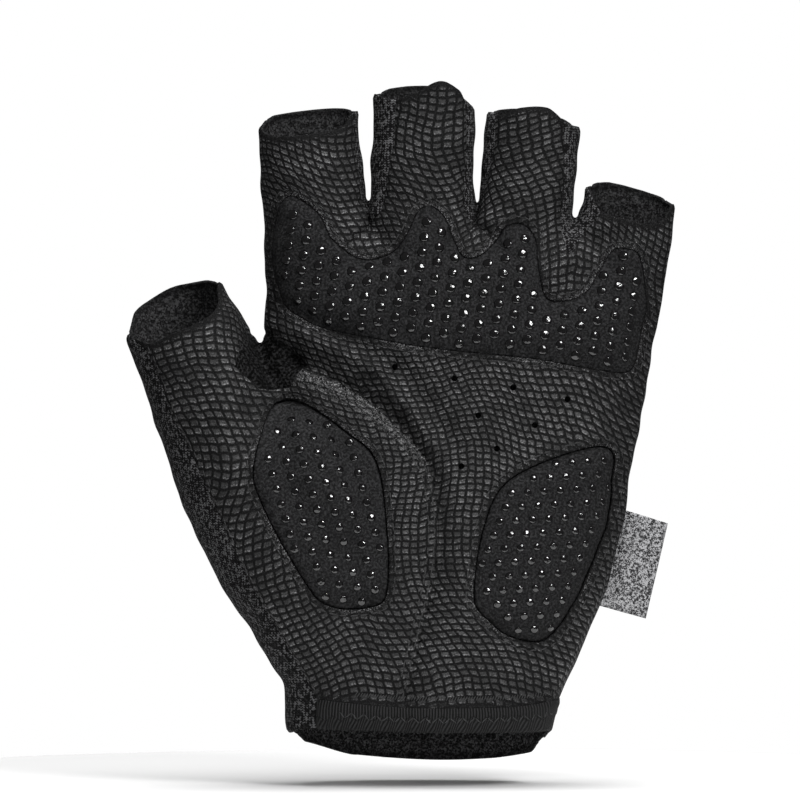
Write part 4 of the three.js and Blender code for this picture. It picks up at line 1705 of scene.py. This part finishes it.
class GLOVE_OT_stitching(bpy.types.Operator):
    """Builds the rows of stitches on the leather, the seams and the tape"""

    bl_idname = "glove.stitching"
    bl_label = "Stitching"

    def execute(self, context):
        pitch = sizes().stitch * 1.35
        length = sizes().stitch
        palm = surface_of(bpy.data.objects["palm_panel_leather"])
        thumb = surface_of(bpy.data.objects["thumb_panel_leather"])
        bm = bmesh.new()
        add_stitches(bm, palm, inset_rows("knuckle", 1.6 * MM), True, pitch, length, 0.42 * MM)
        add_stitches(bm, palm, inset_rows("outer_heel", 1.9 * MM), True, pitch, length, 0.42 * MM)
        obj = object_from(bm, "palm_stitching", material("thread"))
        place(obj, "embossed_leather")
        bm = bmesh.new()
        add_stitches(bm, thumb, inset_rows("thumb_heel", 1.6 * MM), True, pitch, length, 0.42 * MM)
        for distance in (-1.1, -2.6):
            line = offset_line(THENAR_LINE, distance * MM, False)
            add_stitches(bm, thumb, line[4:], False, pitch, length, 0.42 * MM)
        line = offset_line(THUMB_SIDE_LINE, -1.0 * MM, False)
        add_stitches(bm, thumb, line[2:-2], False, pitch, length, 0.42 * MM)
        obj = object_from(bm, "thumb_stitching", material("thread"))
        place(obj, "embossed_leather")
        tape = surface_of(bpy.data.objects["wrist_tape_ribs"])
        bm = bmesh.new()
        line = TAPE_LINE[2:-4] + np.array([0, -2.9 * MM])
        add_stitches(bm, tape, line, False, 1.5 * MM, 1.9 * MM, 0.3 * MM, 0.0, 0.75)
        both = surface_of(
            bpy.data.objects["palm_panel_leather"], bpy.data.objects["thumb_panel_leather"]
        )
        line = TAPE_LINE[3:-4] + np.array([0, 2.5 * MM])
        add_stitches(bm, both, line, False, 0.66 * MM, 1.4 * MM, 0.26 * MM, 1.1)
        obj = object_from(bm, "tape_stitching", material("thread"))
        place(obj, "ribbed_tape")
        return {"FINISHED"}


class GLOVE_OT_stage(bpy.types.Operator):
    """Builds the floor, the lights and the camera"""

    bl_idname = "glove.stage"
    bl_label = "Stage"

    def execute(self, context):
        scene = context.scene
        scene.view_settings.view_transform = "Standard"
        bm = bmesh.new()
        bmesh.ops.create_circle(bm, cap_ends=True, segments=96, radius=FLOOR_RADIUS)
        bmesh.ops.translate(bm, verts=bm.verts, vec=(0, 0, FLOOR_LEVEL))
        n = Nodes("floor_paper")
        soft = n.noise(n.object_mm(), 0.01, 1.0).outputs["Fac"]
        n.set(Base_Color=n.blend(soft, (0.64, 0.64, 0.64, 1), (0.65, 0.65, 0.65, 1)), Roughness=0.9)
        floor = object_from(bm, "floor", n.material)
        world = bpy.data.worlds.new("studio")
        world.use_nodes = True
        tree = world.node_tree
        dim = (ROOM_LIGHT, ROOM_LIGHT, ROOM_LIGHT, 1)
        tree.nodes["Background"].inputs["Color"].default_value = dim
        seen = tree.nodes.new("ShaderNodeBackground")
        seen.inputs["Color"].default_value = (1, 1, 1, 1)
        path = tree.nodes.new("ShaderNodeLightPath")
        mix = tree.nodes.new("ShaderNodeMixShader")
        tree.links.new(path.outputs["Is Camera Ray"], mix.inputs[0])
        tree.links.new(tree.nodes["Background"].outputs[0], mix.inputs[1])
        tree.links.new(seen.outputs[0], mix.inputs[2])
        tree.links.new(mix.outputs[0], tree.nodes["World Output"].inputs[0])
        scene.world = world
        aim = Vector(LIGHT_AIM)
        for name, spot, size, power in LIGHTS:
            light = bpy.data.lights.new(name, "AREA")
            light.size = size
            light.energy = power
            lamp = bpy.data.objects.new(name, light)
            lamp.location = spot
            lamp.rotation_euler = (aim - Vector(spot)).to_track_quat("-Z", "Y").to_euler()
            lamp.visible_glossy = name == "key"
            scene.collection.objects.link(lamp)
        camera = bpy.data.cameras.new("camera")
        camera.lens = CAMERA_LENS
        camera.sensor_width = CAMERA_SENSOR
        camera.clip_start = 0.05
        camera.clip_end = 20
        away = CAMERA_WIDTH_SEEN * camera.lens / camera.sensor_width
        body = bpy.data.objects.new("camera", camera)
        body.location = (CAMERA_ACROSS, -away, CAMERA_HEIGHT)
        body.rotation_euler = (math.radians(90), 0, 0)
        scene.collection.objects.link(body)
        scene.camera = body
        return {"FINISHED"}


class GLOVE_PT_panel(bpy.types.Panel):
    """Lists the glove's pieces"""

    bl_label = "Half-finger glove"
    bl_idname = "GLOVE_PT_panel"
    bl_space_type = "VIEW_3D"
    bl_region_type = "UI"
    bl_category = "Glove"

    def draw(self, context):
        for step in STEPS:
            self.layout.operator(step.bl_idname)


STEPS = (
    GLOVE_OT_leather,
    GLOVE_OT_back,
    GLOVE_OT_pads,
    GLOVE_OT_fourchettes,
    GLOVE_OT_gusset,
    GLOVE_OT_tape,
    GLOVE_OT_tag,
    GLOVE_OT_dots,
    GLOVE_OT_stitching,
    GLOVE_OT_stage,
)
CLASSES = (GloveSizes, GloveColours, *STEPS, GLOVE_PT_panel)


def register():
    for cls in CLASSES:
        bpy.utils.register_class(cls)
    bpy.types.Scene.glove_sizes = bpy.props.PointerProperty(type=GloveSizes)
    bpy.types.Scene.glove_colours = bpy.props.PointerProperty(type=GloveColours)


def unregister():
    del bpy.types.Scene.glove_colours
    del bpy.types.Scene.glove_sizes
    for cls in reversed(CLASSES):
        bpy.utils.unregister_class(cls)


def main():
    register()
    for step in STEPS:
        group, name = step.bl_idname.split(".")
        getattr(getattr(bpy.ops, group), name)()


if __name__ == "__main__":
    main()
